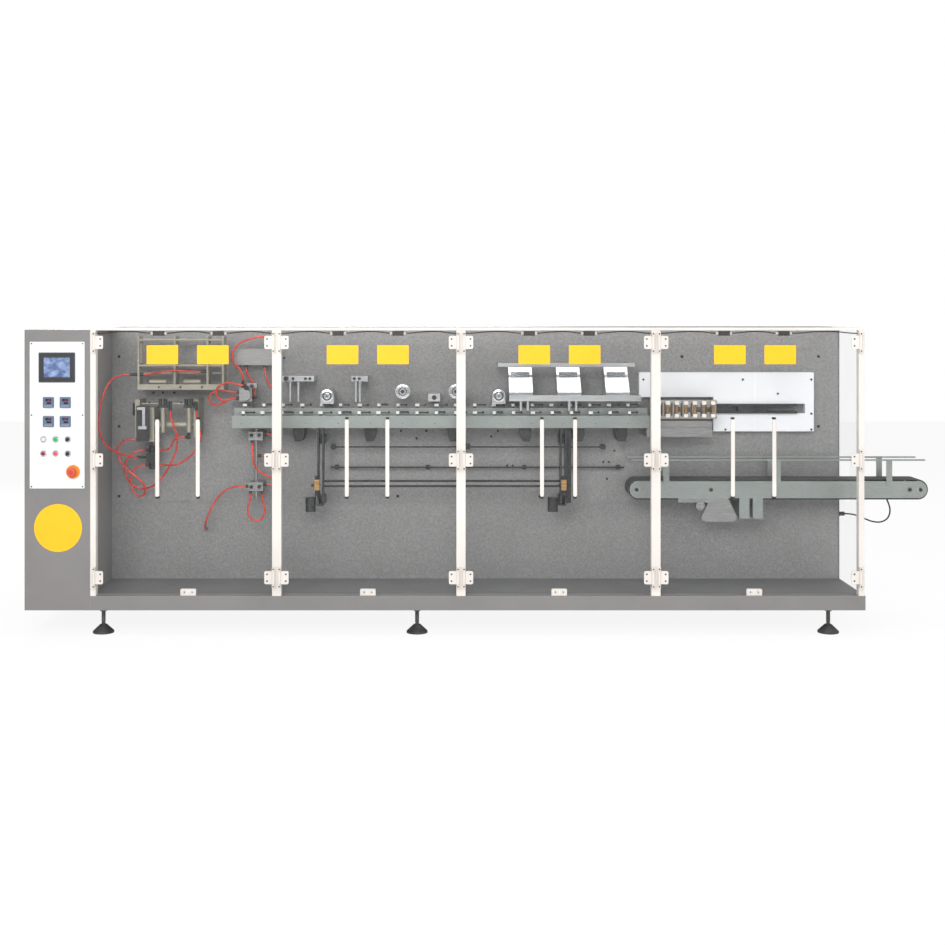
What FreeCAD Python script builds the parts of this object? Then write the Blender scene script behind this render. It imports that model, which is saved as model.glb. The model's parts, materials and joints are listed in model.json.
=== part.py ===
import FreeCAD
import Part
import math
import os
import re

import Sketcher
from FreeCAD import Placement, Rotation, Vector

# A horizontal pouch packing machine: a control cabinet, a guarded frame of four bays with eight clear doors,
# the working units on an upright plate inside it, and a discharge conveyor that leaves through the right end.
# X runs from the cabinet to the discharge end, Y from the doors to the back, Z up from the floor.
# The origin is on the floor, in the middle of the machine's box.

SIZES = [
    # the machine as a whole
    ("machine_depth", 900, "front of the posts to the back of the housing"),
    ("chamber_depth", 450, "front of the posts to the back wall of the working chamber"),
    ("foot_height", 123, "floor to the underside of the base"),
    ("base_height", 72, "height of the closed base"),
    ("base_overhang", 6, "base past the last post"),
    ("frame_height", 1538, "floor to the top of the guard frame"),
    ("tray_thickness", 4, "sheet of the drip tray"),
    ("seat_gap", 0.3, "running or seating gap between neighbours"),
    # control cabinet
    ("cabinet_width", 330, "left to right"),
    ("cabinet_height", 1526, "floor to its top"),
    ("cabinet_round", 6, "rounding of its upright edges"),
    ("control_plate_width", 273, ""),
    ("control_plate_bottom", 733, "above the floor"),
    ("control_plate_top", 1466, "above the floor"),
    ("control_plate_thickness", 3, ""),
    ("screen_width", 181, "touch screen bezel"),
    ("screen_height", 149, ""),
    ("screen_centre_height", 1338, ""),
    ("screen_reach", 7, "bezel in front of the control plate"),
    ("screen_border", 24, "bezel round the glass"),
    ("screen_recess", 2, "glass behind the bezel"),
    ("controller_side", 54, "square temperature controllers"),
    ("controller_reach", 8, ""),
    ("controller_pitch_across", 84, ""),
    ("controller_pitch_up", 95, ""),
    ("controller_low_height", 1068, "centre of the lower pair"),
    ("button_radius", 15, ""),
    ("button_reach", 11, ""),
    ("button_cap_radius", 10.5, ""),
    ("button_pitch_across", 61, ""),
    ("button_pitch_up", 71, ""),
    ("button_low_height", 908, "centre of the lower row"),
    ("stop_reach", 48, "emergency stop in front of the cabinet"),
    ("stop_collar_radius", 33, ""),
    ("stop_collar_reach", 14, ""),
    ("stop_head_radius", 22, ""),
    ("stop_head_thickness", 18, ""),
    ("stop_stem_radius", 10, ""),
    ("stop_from_edge", 55, "centre from the right edge of the control plate"),
    ("stop_height", 817, ""),
    # guard frame
    ("post_width", 46, "middle posts"),
    ("end_post_width", 28, "first and last post"),
    ("post_depth", 40, ""),
    ("post_wall", 3, ""),
    ("rail_height", 15, "top rails"),
    ("roof_thickness", 8, "clear roof"),
    ("guard_thickness", 8, "clear end guard"),
    # doors
    ("door_1_left_width", 460, "post to the meeting line"),
    ("door_1_right_width", 421, ""),
    ("door_2_left_width", 433, ""),
    ("door_2_right_width", 443, ""),
    ("door_3_left_width", 469, ""),
    ("door_3_right_width", 460, ""),
    ("door_4_left_width", 471, ""),
    ("door_4_right_width", 520, ""),
    ("door_1_left_handle", 147, "handle's centre line from the meeting line"),
    ("door_1_right_handle", 55, ""),
    ("door_2_left_handle", 103, ""),
    ("door_2_right_handle", 99, ""),
    ("door_3_left_handle", 89, ""),
    ("door_3_right_handle", 76, ""),
    ("door_4_left_handle", 115, ""),
    ("door_4_right_handle", 91, ""),
    ("door_gap", 5, "clearance round each door"),
    ("door_proud", 5, "door's outer face in front of the posts"),
    ("door_thickness", 8, "clear door panel"),
    ("door_round", 6, "rounding of its corners"),
    ("pin_inset", 8, "hinge pin in from the edge of its post"),
    ("pin_radius", 4, ""),
    ("pin_clearance", 0.08, "radial, between pin and barrel"),
    ("barrel_radius", 7, ""),
    ("barrel_gap", 0.5, "end play between barrel and lug"),
    ("leaf_thickness", 4, ""),
    ("leaf_height", 66, "moving leaf and its barrel"),
    ("leaf_reach", 46, "pin to the outer edge of the moving leaf"),
    ("leaf_round", 9, ""),
    ("leaf_screw_radius", 4, "countersunk hole in the leaf"),
    ("leaf_screw_from_edge", 14, ""),
    ("leaf_screw_pitch", 34, ""),
    ("bracket_height", 103, "fixed hinge bracket"),
    ("hinge_low_height", 288, "middle of the lowest hinge"),
    ("hinge_pitch", 587.5, "hinge to hinge"),
    ("handle_length", 385, ""),
    ("handle_width", 19, ""),
    ("handle_thickness", 8, ""),
    ("handle_reach", 26, "handle's outer face in front of the door"),
    ("handle_bottom", 695, "above the floor"),
    ("handle_foot_radius", 6, ""),
    ("handle_foot_from_end", 14, ""),
    # switches and catches
    ("switch_width", 56, ""),
    ("switch_depth", 24, ""),
    ("switch_height", 24, ""),
    ("switch_plate_width", 112, "plate between rail and switch"),
    ("switch_plate_thickness", 3, ""),
    ("switch_set_back", 12, "behind the front of the posts"),
    ("switch_from_split", 150, "centre from the meeting line"),
    ("catch_width", 78, ""),
    ("catch_height", 34, ""),
    ("catch_depth", 12, ""),
    ("catch_round", 6, ""),
    ("catch_hole_radius", 4, ""),
    # feet
    ("foot_pad_radius", 53, ""),
    ("foot_pad_edge", 8, "thickness of the pad's rim"),
    ("foot_dome_height", 34, ""),
    ("foot_neck_radius", 9, ""),
    ("foot_stem_radius", 10, ""),
    ("foot_nut_radius", 17, ""),
    ("foot_nut_height", 14, ""),
    ("foot_set_in", 60, "from the front and the back of the base"),
    ("foot_left", 52, "first foot from the left end of the frame"),
    ("foot_middle", 1633, ""),
    ("foot_right", 3706, ""),
    # upright plate that carries the units
    ("plate_thickness", 6, ""),
    ("plate_left", 10, "from the left end of the frame"),
    ("plate_length", 3778, ""),
    ("plate_bottom", 608, ""),
    ("plate_top", 1410, ""),
    # pouch magazine
    ("magazine_left", 170, ""),
    ("magazine_length", 450, ""),
    ("magazine_base_height", 1211, ""),
    ("magazine_base_thickness", 28, ""),
    ("magazine_reach", 150, "front of the magazine from the upright plate"),
    ("magazine_side_thickness", 10, ""),
    ("magazine_side_height", 1490, "top of the side plates"),
    ("magazine_side_depth", 90, ""),
    ("magazine_window", 36, "margin round the opening in a side plate"),
    ("magazine_rod_radius", 6, ""),
    ("magazine_cylinder_radius", 13, ""),
    ("magazine_cylinder_length", 88, ""),
    # pick-up unit under the magazine
    ("pickup_left", 158, ""),
    ("pickup_length", 330, ""),
    ("pickup_plate_thickness", 24, ""),
    ("pickup_bottom", 961, ""),
    ("pickup_top", 1160, ""),
    ("pickup_reach", 150, ""),
    ("pickup_shaft_radius", 18, ""),
    ("pickup_shaft_height", 1027, ""),
    ("pickup_cylinder_radius", 12, ""),
    ("pickup_cylinder_reach", 170, "centre of the cylinders from the upright plate"),
    ("pickup_cylinder_pitch", 135, ""),
    ("pickup_cylinder_inset", 149, "first cylinder from the left plate"),
    ("pickup_arm_width", 16, ""),
    ("regulator_left", 208, ""),
    ("regulator_side", 50, ""),
    ("regulator_reach", 108, "front of the regulator from the upright plate"),
    ("regulator_bottom", 826, ""),
    ("regulator_bowl_radius", 17, ""),
    ("regulator_bowl_height", 34, ""),
    ("pickup_block_length", 75, "dark block beside the left plate"),
    ("pickup_block_bottom", 940, ""),
    ("fitting_radius", 8, "black hose fittings"),
    ("fitting_length", 18, ""),
    # transfer beam
    ("beam_left", 670, ""),
    ("beam_length", 2162, ""),
    ("beam_bottom", 1015, ""),
    ("beam_height", 47, ""),
    ("beam_depth", 60, ""),
    ("beam_wall", 5, ""),
    ("beam_reach", 194, "front of the beam from the upright plate"),
    ("rack_thickness", 14, "front and rear clamp bars"),
    ("rack_height", 16, "front clamp bar"),
    ("rear_rack_height", 52, "rear clamp bar"),
    ("rack_spacing", 64, "front bar to rear bar"),
    ("clamp_pitch", 100, ""),
    ("clamp_width", 16, ""),
    ("clamp_height", 22, ""),
    ("clamp_jaw", 20, "jaw towards the other bar"),
    ("clamp_thickness", 7, ""),
    ("bearing_width", 58, "bearing brackets under the beam"),
    ("bearing_foot_width", 38, ""),
    ("bearing_height", 72, ""),
    ("bearing_front_set_back", 30, "behind the front of the beam"),
    # opening station at the end of the first bay
    ("opener_left", 700, ""),
    ("opener_bottom", 1150, ""),
    ("opener_width", 66, ""),
    ("opener_height", 70, ""),
    ("opener_reach", 176, ""),
    ("opener_hub_radius", 30, ""),
    ("opener_hub_length", 26, ""),
    ("opener_column_height", 640, "bottom of the lower column"),
    ("opener_column_radius", 9, ""),
    ("opener_block_side", 44, ""),
    ("opener_block_width", 74, ""),
    # coding, notching and filling stations of the second bay
    ("coder_left", 923, ""),
    ("coder_length", 169, ""),
    ("coder_height", 1256, ""),
    ("coder_thickness", 27, ""),
    ("coder_reach", 166, ""),
    ("coder_guide_radius", 8, ""),
    ("notcher_left", 1286, ""),
    ("notcher_length", 85, ""),
    ("bearing_dial_radius", 34, "round bearing housing"),
    ("dial_ring_radius", 22, ""),
    ("dial_ring_thickness", 4, ""),
    ("dial_reach", 186, ""),
    ("dial_height", 1181, ""),
    ("first_dial", 1161, "centre from the left end of the frame"),
    ("second_dial", 2052, ""),
    ("disc_radius", 38, "knurled pulling discs"),
    ("disc_thickness", 16, ""),
    ("disc_height", 1203, ""),
    ("disc_reach", 176, ""),
    ("first_disc", 1553, ""),
    ("disc_pitch", 277, ""),
    ("disc_shaft_radius", 10, ""),
    ("jaw_block_left", 1686, ""),
    ("jaw_block_length", 61, ""),
    ("jaw_block_height", 39, ""),
    ("jaw_block_bottom", 1152, ""),
    # sealing units of the third bay
    ("sealer_left", 2105, ""),
    ("sealer_width", 122, ""),
    ("sealer_pitch", 250, ""),
    ("sealer_bottom", 1185, ""),
    ("sealer_lip_height", 16, "upright lip under the sloping face"),
    ("sealer_height", 142, ""),
    ("sealer_reach", 214, ""),
    ("sealer_slope", 118, "how far the face leans back"),
    ("sealer_depth", 190, ""),
    ("sealer_window_height", 40, "along the sloping face"),
    ("sealer_window_border", 12, ""),
    ("sealer_window_depth", 30, ""),
    ("sealer_beam_height", 30, "bar under the sealing units"),
    ("sealer_beam_length", 681, ""),
    ("sealer_beam_thickness", 22, ""),
    ("sealer_column_radius", 8, ""),
    ("sealer_column_pitch", 36, ""),
    ("sealer_rail_bottom", 1331, "long bar above the sealing units"),
    ("sealer_rail_height", 19, ""),
    ("sealer_rail_left", 2049, ""),
    ("sealer_rail_length", 712, ""),
    ("sealer_rail_thickness", 12, ""),
    ("sealer_rail_reach", 150, ""),
    ("rail_arm_width", 24, ""),
    # cooling section and its cover
    ("cover_left", 2799, ""),
    ("cover_length", 923, ""),
    ("cover_bottom", 986, ""),
    ("cover_top", 1297, ""),
    ("cover_depth", 44, ""),
    ("cover_notch_length", 392, "open lower left corner"),
    ("cover_notch_top", 1167, ""),
    ("cover_slot_bottom", 1081, ""),
    ("cover_slot_height", 51, ""),
    ("cover_slot_end", 46, "closed end of the slot from the right edge"),
    ("cover_round", 4, ""),
    ("actuator_length", 440, ""),
    ("actuator_reach", 62, ""),
    ("actuator_rail_height", 12, ""),
    ("slider_length", 150, ""),
    ("slider_offset", 130, ""),
    ("cooler_left", 2860, ""),
    ("cooler_pitch", 52, ""),
    ("cooler_bar_height", 14, ""),
    ("cooler_bar_length", 330, ""),
    ("cooler_reach", 150, ""),
    ("cooler_bottom", 1060, ""),
    ("cooler_span", 82, "lower clamp bar to upper clamp bar"),
    ("cooler_tip_width", 18, ""),
    ("cooler_tip_height", 20, ""),
    ("spring_radius", 10, "brass spring housings"),
    ("chute_left", 2824, ""),
    ("chute_length", 341, ""),
    ("chute_bottom", 966, ""),
    ("chute_height", 45, ""),
    ("press_height", 36, "dark bar above the chute"),
    ("press_inset", 75, ""),
    # slides, rods and rails under the beam
    ("slide_width", 33, ""),
    ("slide_depth", 60, ""),
    ("slide_bottom", 610, ""),
    ("slide_wall", 8, ""),
    ("slide_bracket_height", 40, ""),
    ("first_slide", 1110, ""),
    ("second_slide", 2371, ""),
    ("slide_motor_radius", 27, ""),
    ("slide_motor_height", 74, ""),
    ("slide_bar_width", 26, "flat bar beside the second slide"),
    ("rod_left", 1168, ""),
    ("upper_rod_height", 736, ""),
    ("lower_rod_height", 709, ""),
    ("rod_radius", 6, ""),
    ("rod_reach", 150, ""),
    ("cross_bar_height", 794, ""),
    ("cross_bar_length", 1553, ""),
    ("cross_bar_thickness", 8, ""),
    ("cross_shaft_height", 905, ""),
    ("cross_shaft_length", 1453, ""),
    ("cross_shaft_radius", 4, ""),
    ("cross_shaft_reach", 60, ""),
    ("rail_clamp_side", 22, ""),
    # discharge conveyor
    ("conveyor_left", 2723, "left end of the belt from the left end of the frame"),
    ("conveyor_overhang", 405, "belt past the last post"),
    ("conveyor_reach", 197, "front side plate from the upright plate"),
    ("conveyor_centre_height", 696, ""),
    ("conveyor_height", 104, "over the belt"),
    ("belt_width", 150, ""),
    ("belt_thickness", 5, ""),
    ("belt_recess", 8, "side plate below the belt's face"),
    ("side_plate_thickness", 8, ""),
    ("drum_inset", 2, "drum from the inside of the belt"),
    ("axle_radius", 9, ""),
    ("side_rail_height", 849, ""),
    ("side_rail_thickness", 8, ""),
    ("side_rail_depth", 14, ""),
    ("side_rail_end", 16, "rail short of the belt's ends"),
    ("rail_stand_width", 30, ""),
    ("rail_stand_thickness", 5, ""),
    ("first_stand", 195, "from the left end of the belt"),
    ("stand_pitch", 577, ""),
    ("bracket_left", 3297, "conveyor bracket"),
    ("bracket_length", 52, ""),
    ("bracket_pitch", 70, ""),
    ("bracket_bottom", 547, ""),
    ("bracket_thickness", 8, ""),
    ("cover_plate_left", 3089, "drive cover under the conveyor"),
    ("cover_plate_base", 208, ""),
    ("cover_plate_crown", 92, ""),
    ("cover_plate_drop", 121, ""),
    ("cover_plate_round", 22, ""),
    ("knob_radius", 22, ""),
    ("knob_length", 34, ""),
    ("motor_radius", 46, "conveyor gear motor"),
    ("motor_length", 120, ""),
    ("tension_arm_length", 214, ""),
    ("tension_arm_height", 22, ""),
    ("guard_window_side", 14, "clearance of the end guard round the conveyor"),
    # cables and hoses
    ("cable_radius", 4, "conveyor motor cable"),
    ("gland_radius", 11, ""),
    ("gland_length", 40, ""),
    ("gland_height", 537, ""),
    ("gland_set_back", 50, "behind the back wall"),
    ("loom_radius", 3, "switch cable under the top rail"),
    ("loom_rise", 10, "how far it bows up between them"),
    ("hose_radius", 5, "air hoses"),
    ("valve_cover_left", 663, "cover of the valves beside the first post"),
    ("valve_cover_length", 235, ""),
    ("valve_cover_drop", 115, "its top below the roof"),
    ("valve_cover_height", 86, ""),
    ("valve_cover_reach", 80, ""),
]

BAYS = (1, 2, 3, 4)
SIDES = ("left", "right")


def door_sum(bay):
    """The widths of all doors before a bay, as a formula."""
    names = [f"door_{n}_{side}_width" for n in BAYS if n < bay for side in SIDES]
    return " + ".join(names) if names else "0"


# Places that follow from the sizes, as formulas.
PLACES = {
    "frame_length": f"2 * end_post_width + 3 * post_width + {door_sum(5)}",
    "machine_length": "cabinet_width + frame_length + conveyor_overhang",
    "machine_left": "-machine_length / 2",
    "frame_left": "machine_left + cabinet_width",
    "frame_right": "frame_left + frame_length",
    "front_face": "(stop_reach - machine_depth) / 2",
    "rear_face": "front_face + machine_depth",
    "wall_face": "front_face + chamber_depth",
    "plate_face": "wall_face - plate_thickness",
    "door_face": "front_face - door_proud",
    "door_back": "door_face + door_thickness",
    "pin_line": "door_face - barrel_radius",
    "base_top": "foot_height + base_height",
    "tray_top": "base_top + tray_thickness",
    "rail_bottom": "frame_height - rail_height",
    "loom_height": "rail_bottom - switch_plate_thickness - switch_height / 2",
    "post_back": "front_face + post_depth",
    "guard_left": "frame_right - guard_thickness",
    "control_left": "machine_left + (cabinet_width - control_plate_width) / 2",
    "control_face": "front_face - control_plate_thickness",
    "control_centre": "machine_left + cabinet_width / 2",
    "beam_front": "plate_face - beam_reach",
    "beam_back": "beam_front + beam_depth",
    "beam_top": "beam_bottom + beam_height",
    "rear_rack_front": "beam_front + rack_thickness + rack_spacing",
    "sealer_front": "plate_face - sealer_reach",
    "sealer_back": "sealer_front + sealer_depth",
    "conveyor_end": "frame_right + conveyor_overhang",
    "conveyor_start": "frame_left + conveyor_left",
    "conveyor_front": "plate_face - conveyor_reach",
    "conveyor_back": "conveyor_front + belt_width + 2 * side_plate_thickness + 2 * seat_gap",
    "belt_front": "conveyor_front + side_plate_thickness + seat_gap",
    "belt_radius": "conveyor_height / 2",
    "conveyor_top": "conveyor_centre_height + belt_radius",
    "conveyor_bottom": "conveyor_centre_height - belt_radius",
    "plate_height_below": "belt_radius - belt_recess",
    "side_bottom": "conveyor_centre_height - plate_height_below",
    "side_top": "conveyor_centre_height + plate_height_below",
}
for bay in BAYS:
    PLACES[f"bay_{bay}_start"] = f"frame_left + end_post_width + {bay - 1} * post_width + {door_sum(bay)}"
    PLACES[f"bay_{bay}_split"] = f"bay_{bay}_start + door_{bay}_left_width"
    PLACES[f"bay_{bay}_end"] = f"bay_{bay}_split + door_{bay}_right_width"

ALIASES = {alias for alias, _, _ in SIZES}
NAME = re.compile(r"[a-z][a-z0-9_]*")

doc = FreeCAD.newDocument("pouch_packing_machine")
sheet = doc.addObject("Spreadsheet::Sheet", "sizes")
for row, (alias, value, meaning) in enumerate(SIZES, start=1):
    sheet.set(f"A{row}", meaning or alias.replace("_", " "))
    sheet.set(f"B{row}", str(value))
    sheet.setAlias(f"B{row}", alias)
doc.recompute()


def formula(text):
    """A formula in plain size names, written out for the sheet."""

    def written_out(match):
        name = match.group()
        if name in PLACES:
            return f"({formula(PLACES[name])})"
        if name in ALIASES:
            return f"sizes.{name}"
        return name

    return NAME.sub(written_out, str(text))


def mm(text):
    """The value of a formula, as a number."""
    return float(sheet.evalExpression(formula(text)))


def bind(item, **properties):
    """Binds properties such as Length or place_x to formulas."""
    for name, text in properties.items():
        name = f".Placement.Base.{name[-1]}" if name.startswith("place_") else name
        item.setExpression(name, formula(text))


def block(name, x, y, z):
    """A box between two formulas on each axis."""
    item = doc.addObject("Part::Box", name)
    bind(item, Length=f"({x[1]}) - ({x[0]})", Width=f"({y[1]}) - ({y[0]})", Height=f"({z[1]}) - ({z[0]})")
    bind(item, place_x=x[0], place_y=y[0], place_z=z[0])
    return item


TURNS = {"x": Rotation(Vector(0, 1, 0), 90), "y": Rotation(Vector(1, 0, 0), -90), "z": Rotation()}


def rod(name, axis, x, y, z, radius):
    """A cylinder; the coordinate along its axis is a pair of formulas, the others are single."""
    places = {"x": x, "y": y, "z": z}
    low, high = places[axis]
    item = doc.addObject("Part::Cylinder", name)
    item.Placement = Placement(Vector(), TURNS[axis])
    bind(item, Radius=radius, Height=f"({high}) - ({low})")
    places[axis] = low
    bind(item, place_x=places["x"], place_y=places["y"], place_z=places["z"])
    return item


def cone(name, axis, x, y, z, start_radius, end_radius):
    """A cone frustum; the coordinate along its axis is a pair of formulas."""
    places = {"x": x, "y": y, "z": z}
    low, high = places[axis]
    item = doc.addObject("Part::Cone", name)
    item.Placement = Placement(Vector(), TURNS[axis])
    bind(item, Radius1=start_radius, Radius2=end_radius, Height=f"({high}) - ({low})")
    places[axis] = low
    bind(item, place_x=places["x"], place_y=places["y"], place_z=places["z"])
    return item


def fused(name, pieces):
    item = doc.addObject("Part::MultiFuse", name)
    item.Shapes = pieces
    item.Refine = True
    return item


def group(name, pieces):
    """Separate solids that share a node."""
    item = doc.addObject("Part::Compound", name)
    item.Links = pieces
    return item


def cut(name, base, *tools):
    tool = tools[0] if len(tools) == 1 else group(f"{name}_tools", list(tools))
    item = doc.addObject("Part::Cut", name)
    item.Base = base
    item.Tool = tool
    return item


def tube(name, x, y, z, wall, axis):
    """A hollow rectangular bar, open at both ends of its axis."""
    inner = {}
    for letter, (low, high) in {"x": x, "y": y, "z": z}.items():
        step = "-1" if letter == axis else f"({wall})"
        inner[letter] = (f"({low}) + {step}", f"({high}) - {step}")
    return cut(name, block(f"{name}_outside", x, y, z), block(f"{name}_inside", inner["x"], inner["y"], inner["z"]))


def copy(name, source, **places):
    """A linked copy of an object, moved by formulas."""
    item = doc.addObject("App::Link", name)
    item.LinkedObject = source
    bind(item, **{f"place_{letter}": text for letter, text in places.items()})
    return item


PLANES = {"x": "YZ_Plane", "y": "XZ_Plane", "z": "XY_Plane"}


def origin_plane(body, axis):
    return next(item for item in body.Origin.OriginFeatures if item.Role == PLANES[axis])


def new_sketch(body, name, axis):
    sketch = body.newObject("Sketcher::SketchObject", name)
    sketch.AttachmentSupport = [(origin_plane(body, axis), "")]
    sketch.MapMode = "FlatFace"
    return sketch


def tie(sketch, kind, element, point, text):
    """Holds one coordinate of a sketch point at a formula."""
    index = sketch.addConstraint(Sketcher.Constraint(kind, -1, 1, element, point, mm(text)))
    sketch.setExpression(f"Constraints[{index}]", formula(text))


def draw_polygon(sketch, corners):
    """Straight lines through corners given as pairs of formulas."""
    first = sketch.GeometryCount
    points = [Vector(mm(a), mm(b), 0) for a, b in corners]
    count = len(points)
    for n in range(count):
        sketch.addGeometry(Part.LineSegment(points[n], points[(n + 1) % count]))
    for n in range(count):
        sketch.addConstraint(Sketcher.Constraint("Coincident", first + n, 2, first + (n + 1) % count, 1))
    for n, (a, b) in enumerate(corners):
        tie(sketch, "DistanceX", first + n, 1, a)
        tie(sketch, "DistanceY", first + n, 1, b)


def draw_circle(sketch, a, b, radius):
    index = sketch.addGeometry(Part.Circle(Vector(mm(a), mm(b), 0), Vector(0, 0, 1), mm(radius)))
    tie(sketch, "DistanceX", index, 3, a)
    tie(sketch, "DistanceY", index, 3, b)
    bound = sketch.addConstraint(Sketcher.Constraint("Radius", index, mm(radius)))
    sketch.setExpression(f"Constraints[{bound}]", formula(radius))


def draw_slot(sketch, left, right, height, radius):
    """A round-ended outline about a level centre line."""
    x0, x1, z, r = mm(left), mm(right), mm(height), mm(radius)
    top = sketch.addGeometry(Part.LineSegment(Vector(x0, z + r, 0), Vector(x1, z + r, 0)))
    low = sketch.addGeometry(Part.LineSegment(Vector(x1, z - r, 0), Vector(x0, z - r, 0)))
    circle_a = Part.Circle(Vector(x0, z, 0), Vector(0, 0, 1), r)
    circle_b = Part.Circle(Vector(x1, z, 0), Vector(0, 0, 1), r)
    end_a = sketch.addGeometry(Part.ArcOfCircle(circle_a, math.pi / 2, 3 * math.pi / 2))
    end_b = sketch.addGeometry(Part.ArcOfCircle(circle_b, -math.pi / 2, math.pi / 2))
    for arc, point, line, other in ((end_a, 1, top, 1), (end_a, 2, low, 2), (end_b, 2, top, 2), (end_b, 1, low, 1)):
        sketch.addConstraint(Sketcher.Constraint("Tangent", arc, point, line, other))
    for arc, place in ((end_a, left), (end_b, right)):
        tie(sketch, "DistanceX", arc, 3, place)
    tie(sketch, "DistanceY", end_a, 3, height)
    sketch.addConstraint(Sketcher.Constraint("Horizontal", top))
    bound = sketch.addConstraint(Sketcher.Constraint("Radius", end_a, r))
    sketch.setExpression(f"Constraints[{bound}]", formula(radius))


def padded(name, axis, span, draw):
    """A body whose sketch, drawn by draw, is padded along an axis over a span of two formulas."""
    body = doc.addObject("PartDesign::Body", name)
    body.AllowCompound = True
    sketch = new_sketch(body, f"{name}_sketch", axis)
    draw(sketch)
    pad = body.newObject("PartDesign::Pad", f"{name}_pad")
    pad.Profile = sketch
    bind(pad, Length=f"({span[1]}) - ({span[0]})")
    # a pad on the XZ plane grows towards -Y, the others grow towards + of their axis
    bind(body, **{f"place_{axis}": span[1] if axis == "y" else span[0]})
    return body


def prism(name, axis, span, corners, rounds=None):
    """A padded polygon; rounds maps a corner's number to its radius."""
    body = padded(name, axis, span, lambda sketch: draw_polygon(sketch, corners))
    if rounds:
        doc.recompute()
        by_radius = {}
        for corner, radius in rounds.items():
            by_radius.setdefault(radius, []).append(corner)
        for radius, numbers in by_radius.items():
            fillet_corners(body, axis, [corners[n] for n in numbers], radius)
    return body


def fillet_corners(body, axis, corners, radius):
    """Rounds the edges along an axis that stand on the given sketch corners."""
    across = {"x": ("y", "z"), "y": ("x", "z"), "z": ("x", "y")}[axis]
    base = body.Tip
    names = []
    for number, edge in enumerate(base.Shape.Edges, start=1):
        ends = [vertex.Point for vertex in edge.Vertexes]
        if len(ends) != 2 or abs((ends[1] - ends[0]).Length - abs(getattr(ends[1] - ends[0], axis))) > 1e-6:
            continue
        here = [getattr(ends[0], letter) for letter in across]
        if any(math.dist(here, (mm(a), mm(b))) < 0.01 for a, b in corners):
            names.append(f"Edge{number}")
    fillet = body.newObject("PartDesign::Fillet", f"{body.Name}_round")
    fillet.Base = (base, names)
    bind(fillet, Radius=radius)
    body.Tip = fillet
    doc.recompute()


def pocketed(body, axis, draw, depth=None, from_low=True):
    """Cuts a drawn shape through a padded body, or to a depth from one of its sides."""
    doc.recompute()
    before = body.Tip.Shape.Volume
    number = len(body.Group)
    sketch = new_sketch(body, f"{body.Name}_pocket_sketch_{number}", axis)
    draw(sketch)
    pocket = body.newObject("PartDesign::Pocket", f"{body.Name}_pocket_{number}")
    pocket.Profile = sketch
    if depth is None:
        pocket.Type = "ThroughAll"
    else:
        bind(pocket, Length=depth)
    pocket.Reversed = from_low
    body.Tip = pocket
    doc.recompute()
    if body.Tip.Shape.Volume >= before:
        raise RuntimeError(f"{body.Name}: the pocket cuts nothing")
    return body


def box_corners(x, z):
    return [(x[0], z[0]), (x[1], z[0]), (x[1], z[1]), (x[0], z[1])]


def plate(name, x, y, z, radius=None):
    """An upright plate across Y, with its four corners rounded."""
    return prism(name, "y", y, box_corners(x, z), {n: radius for n in range(4)} if radius else None)


NODES = []


def node(name, item):
    """Names a finished sub-part; the name is its file's."""
    item.Label = name
    NODES.append((name, item))
    return item


# ---------------------------------------------------------------- cabinet and its controls

def make_cabinet():
    x = ("machine_left", "frame_left - seat_gap")
    y = ("front_face", "rear_face")
    corners = [(x[0], y[0]), (x[1], y[0]), (x[1], y[1]), (x[0], y[1])]
    rounds = {0: "cabinet_round", 3: "cabinet_round"}
    body = prism("control_cabinet", "z", ("foot_height", "cabinet_height"), corners, rounds)
    node("control_cabinet", body)

    x = ("control_left", "control_left + control_plate_width")
    z = ("control_plate_bottom", "control_plate_top")
    node("control_panel", plate("control_panel", x, ("control_face", "front_face"), z, "3"))


def make_screen():
    half, tall = "screen_width / 2", "screen_height / 2"
    x = (f"control_centre - {half}", f"control_centre + {half}")
    z = (f"screen_centre_height - {tall}", f"screen_centre_height + {tall}")
    body = plate("touch_screen", x, ("control_face - screen_reach", "control_face"), z, "4")
    border = "screen_border"
    inner_x = (f"{x[0]} + {border}", f"{x[1]} - {border}")
    inner_z = (f"{z[0]} + {border}", f"{z[1]} - {border}")
    # the pad grows from the plate's back towards the front, so a cut from the front face is made as a box
    recess_y = ("control_face - screen_reach - 1", "control_face - screen_reach + screen_recess")
    node("touch_screen", cut("touch_screen_cut", body, block("screen_recess_box", inner_x, recess_y, inner_z)))


def make_controllers():
    pieces = []
    for column in (-1, 1):
        for level in (0, 1):
            centre = f"control_centre + {column} * controller_pitch_across / 2"
            height = f"controller_low_height + {level} * controller_pitch_up"
            x = (f"{centre} - controller_side / 2", f"{centre} + controller_side / 2")
            z = (f"{height} - controller_side / 2", f"{height} + controller_side / 2")
            name = f"controller_{column + 1}_{level}"
            pieces.append(plate(name, x, ("control_face - controller_reach", "control_face"), z, "3"))
    node("temperature_controllers", group("temperature_controllers", pieces))


def make_buttons():
    pieces = []
    for column in (-1, 0, 1):
        for level in (0, 1):
            centre = f"control_centre - 6 + {column} * button_pitch_across"
            height = f"button_low_height + {level} * button_pitch_up"
            name = f"button_{column + 1}_{level}"
            bezel_y = ("control_face - button_reach / 2", "control_face")
            bezel = cone(f"{name}_bezel", "y", centre, bezel_y, height, "button_cap_radius + 2", "button_radius")
            cap_y = ("control_face - button_reach", "control_face - button_reach / 2")
            cap = rod(f"{name}_cap", "y", centre, cap_y, height, "button_cap_radius")
            pieces.append(fused(name, [bezel, cap]))
    node("push_buttons", group("push_buttons", pieces))


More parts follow.
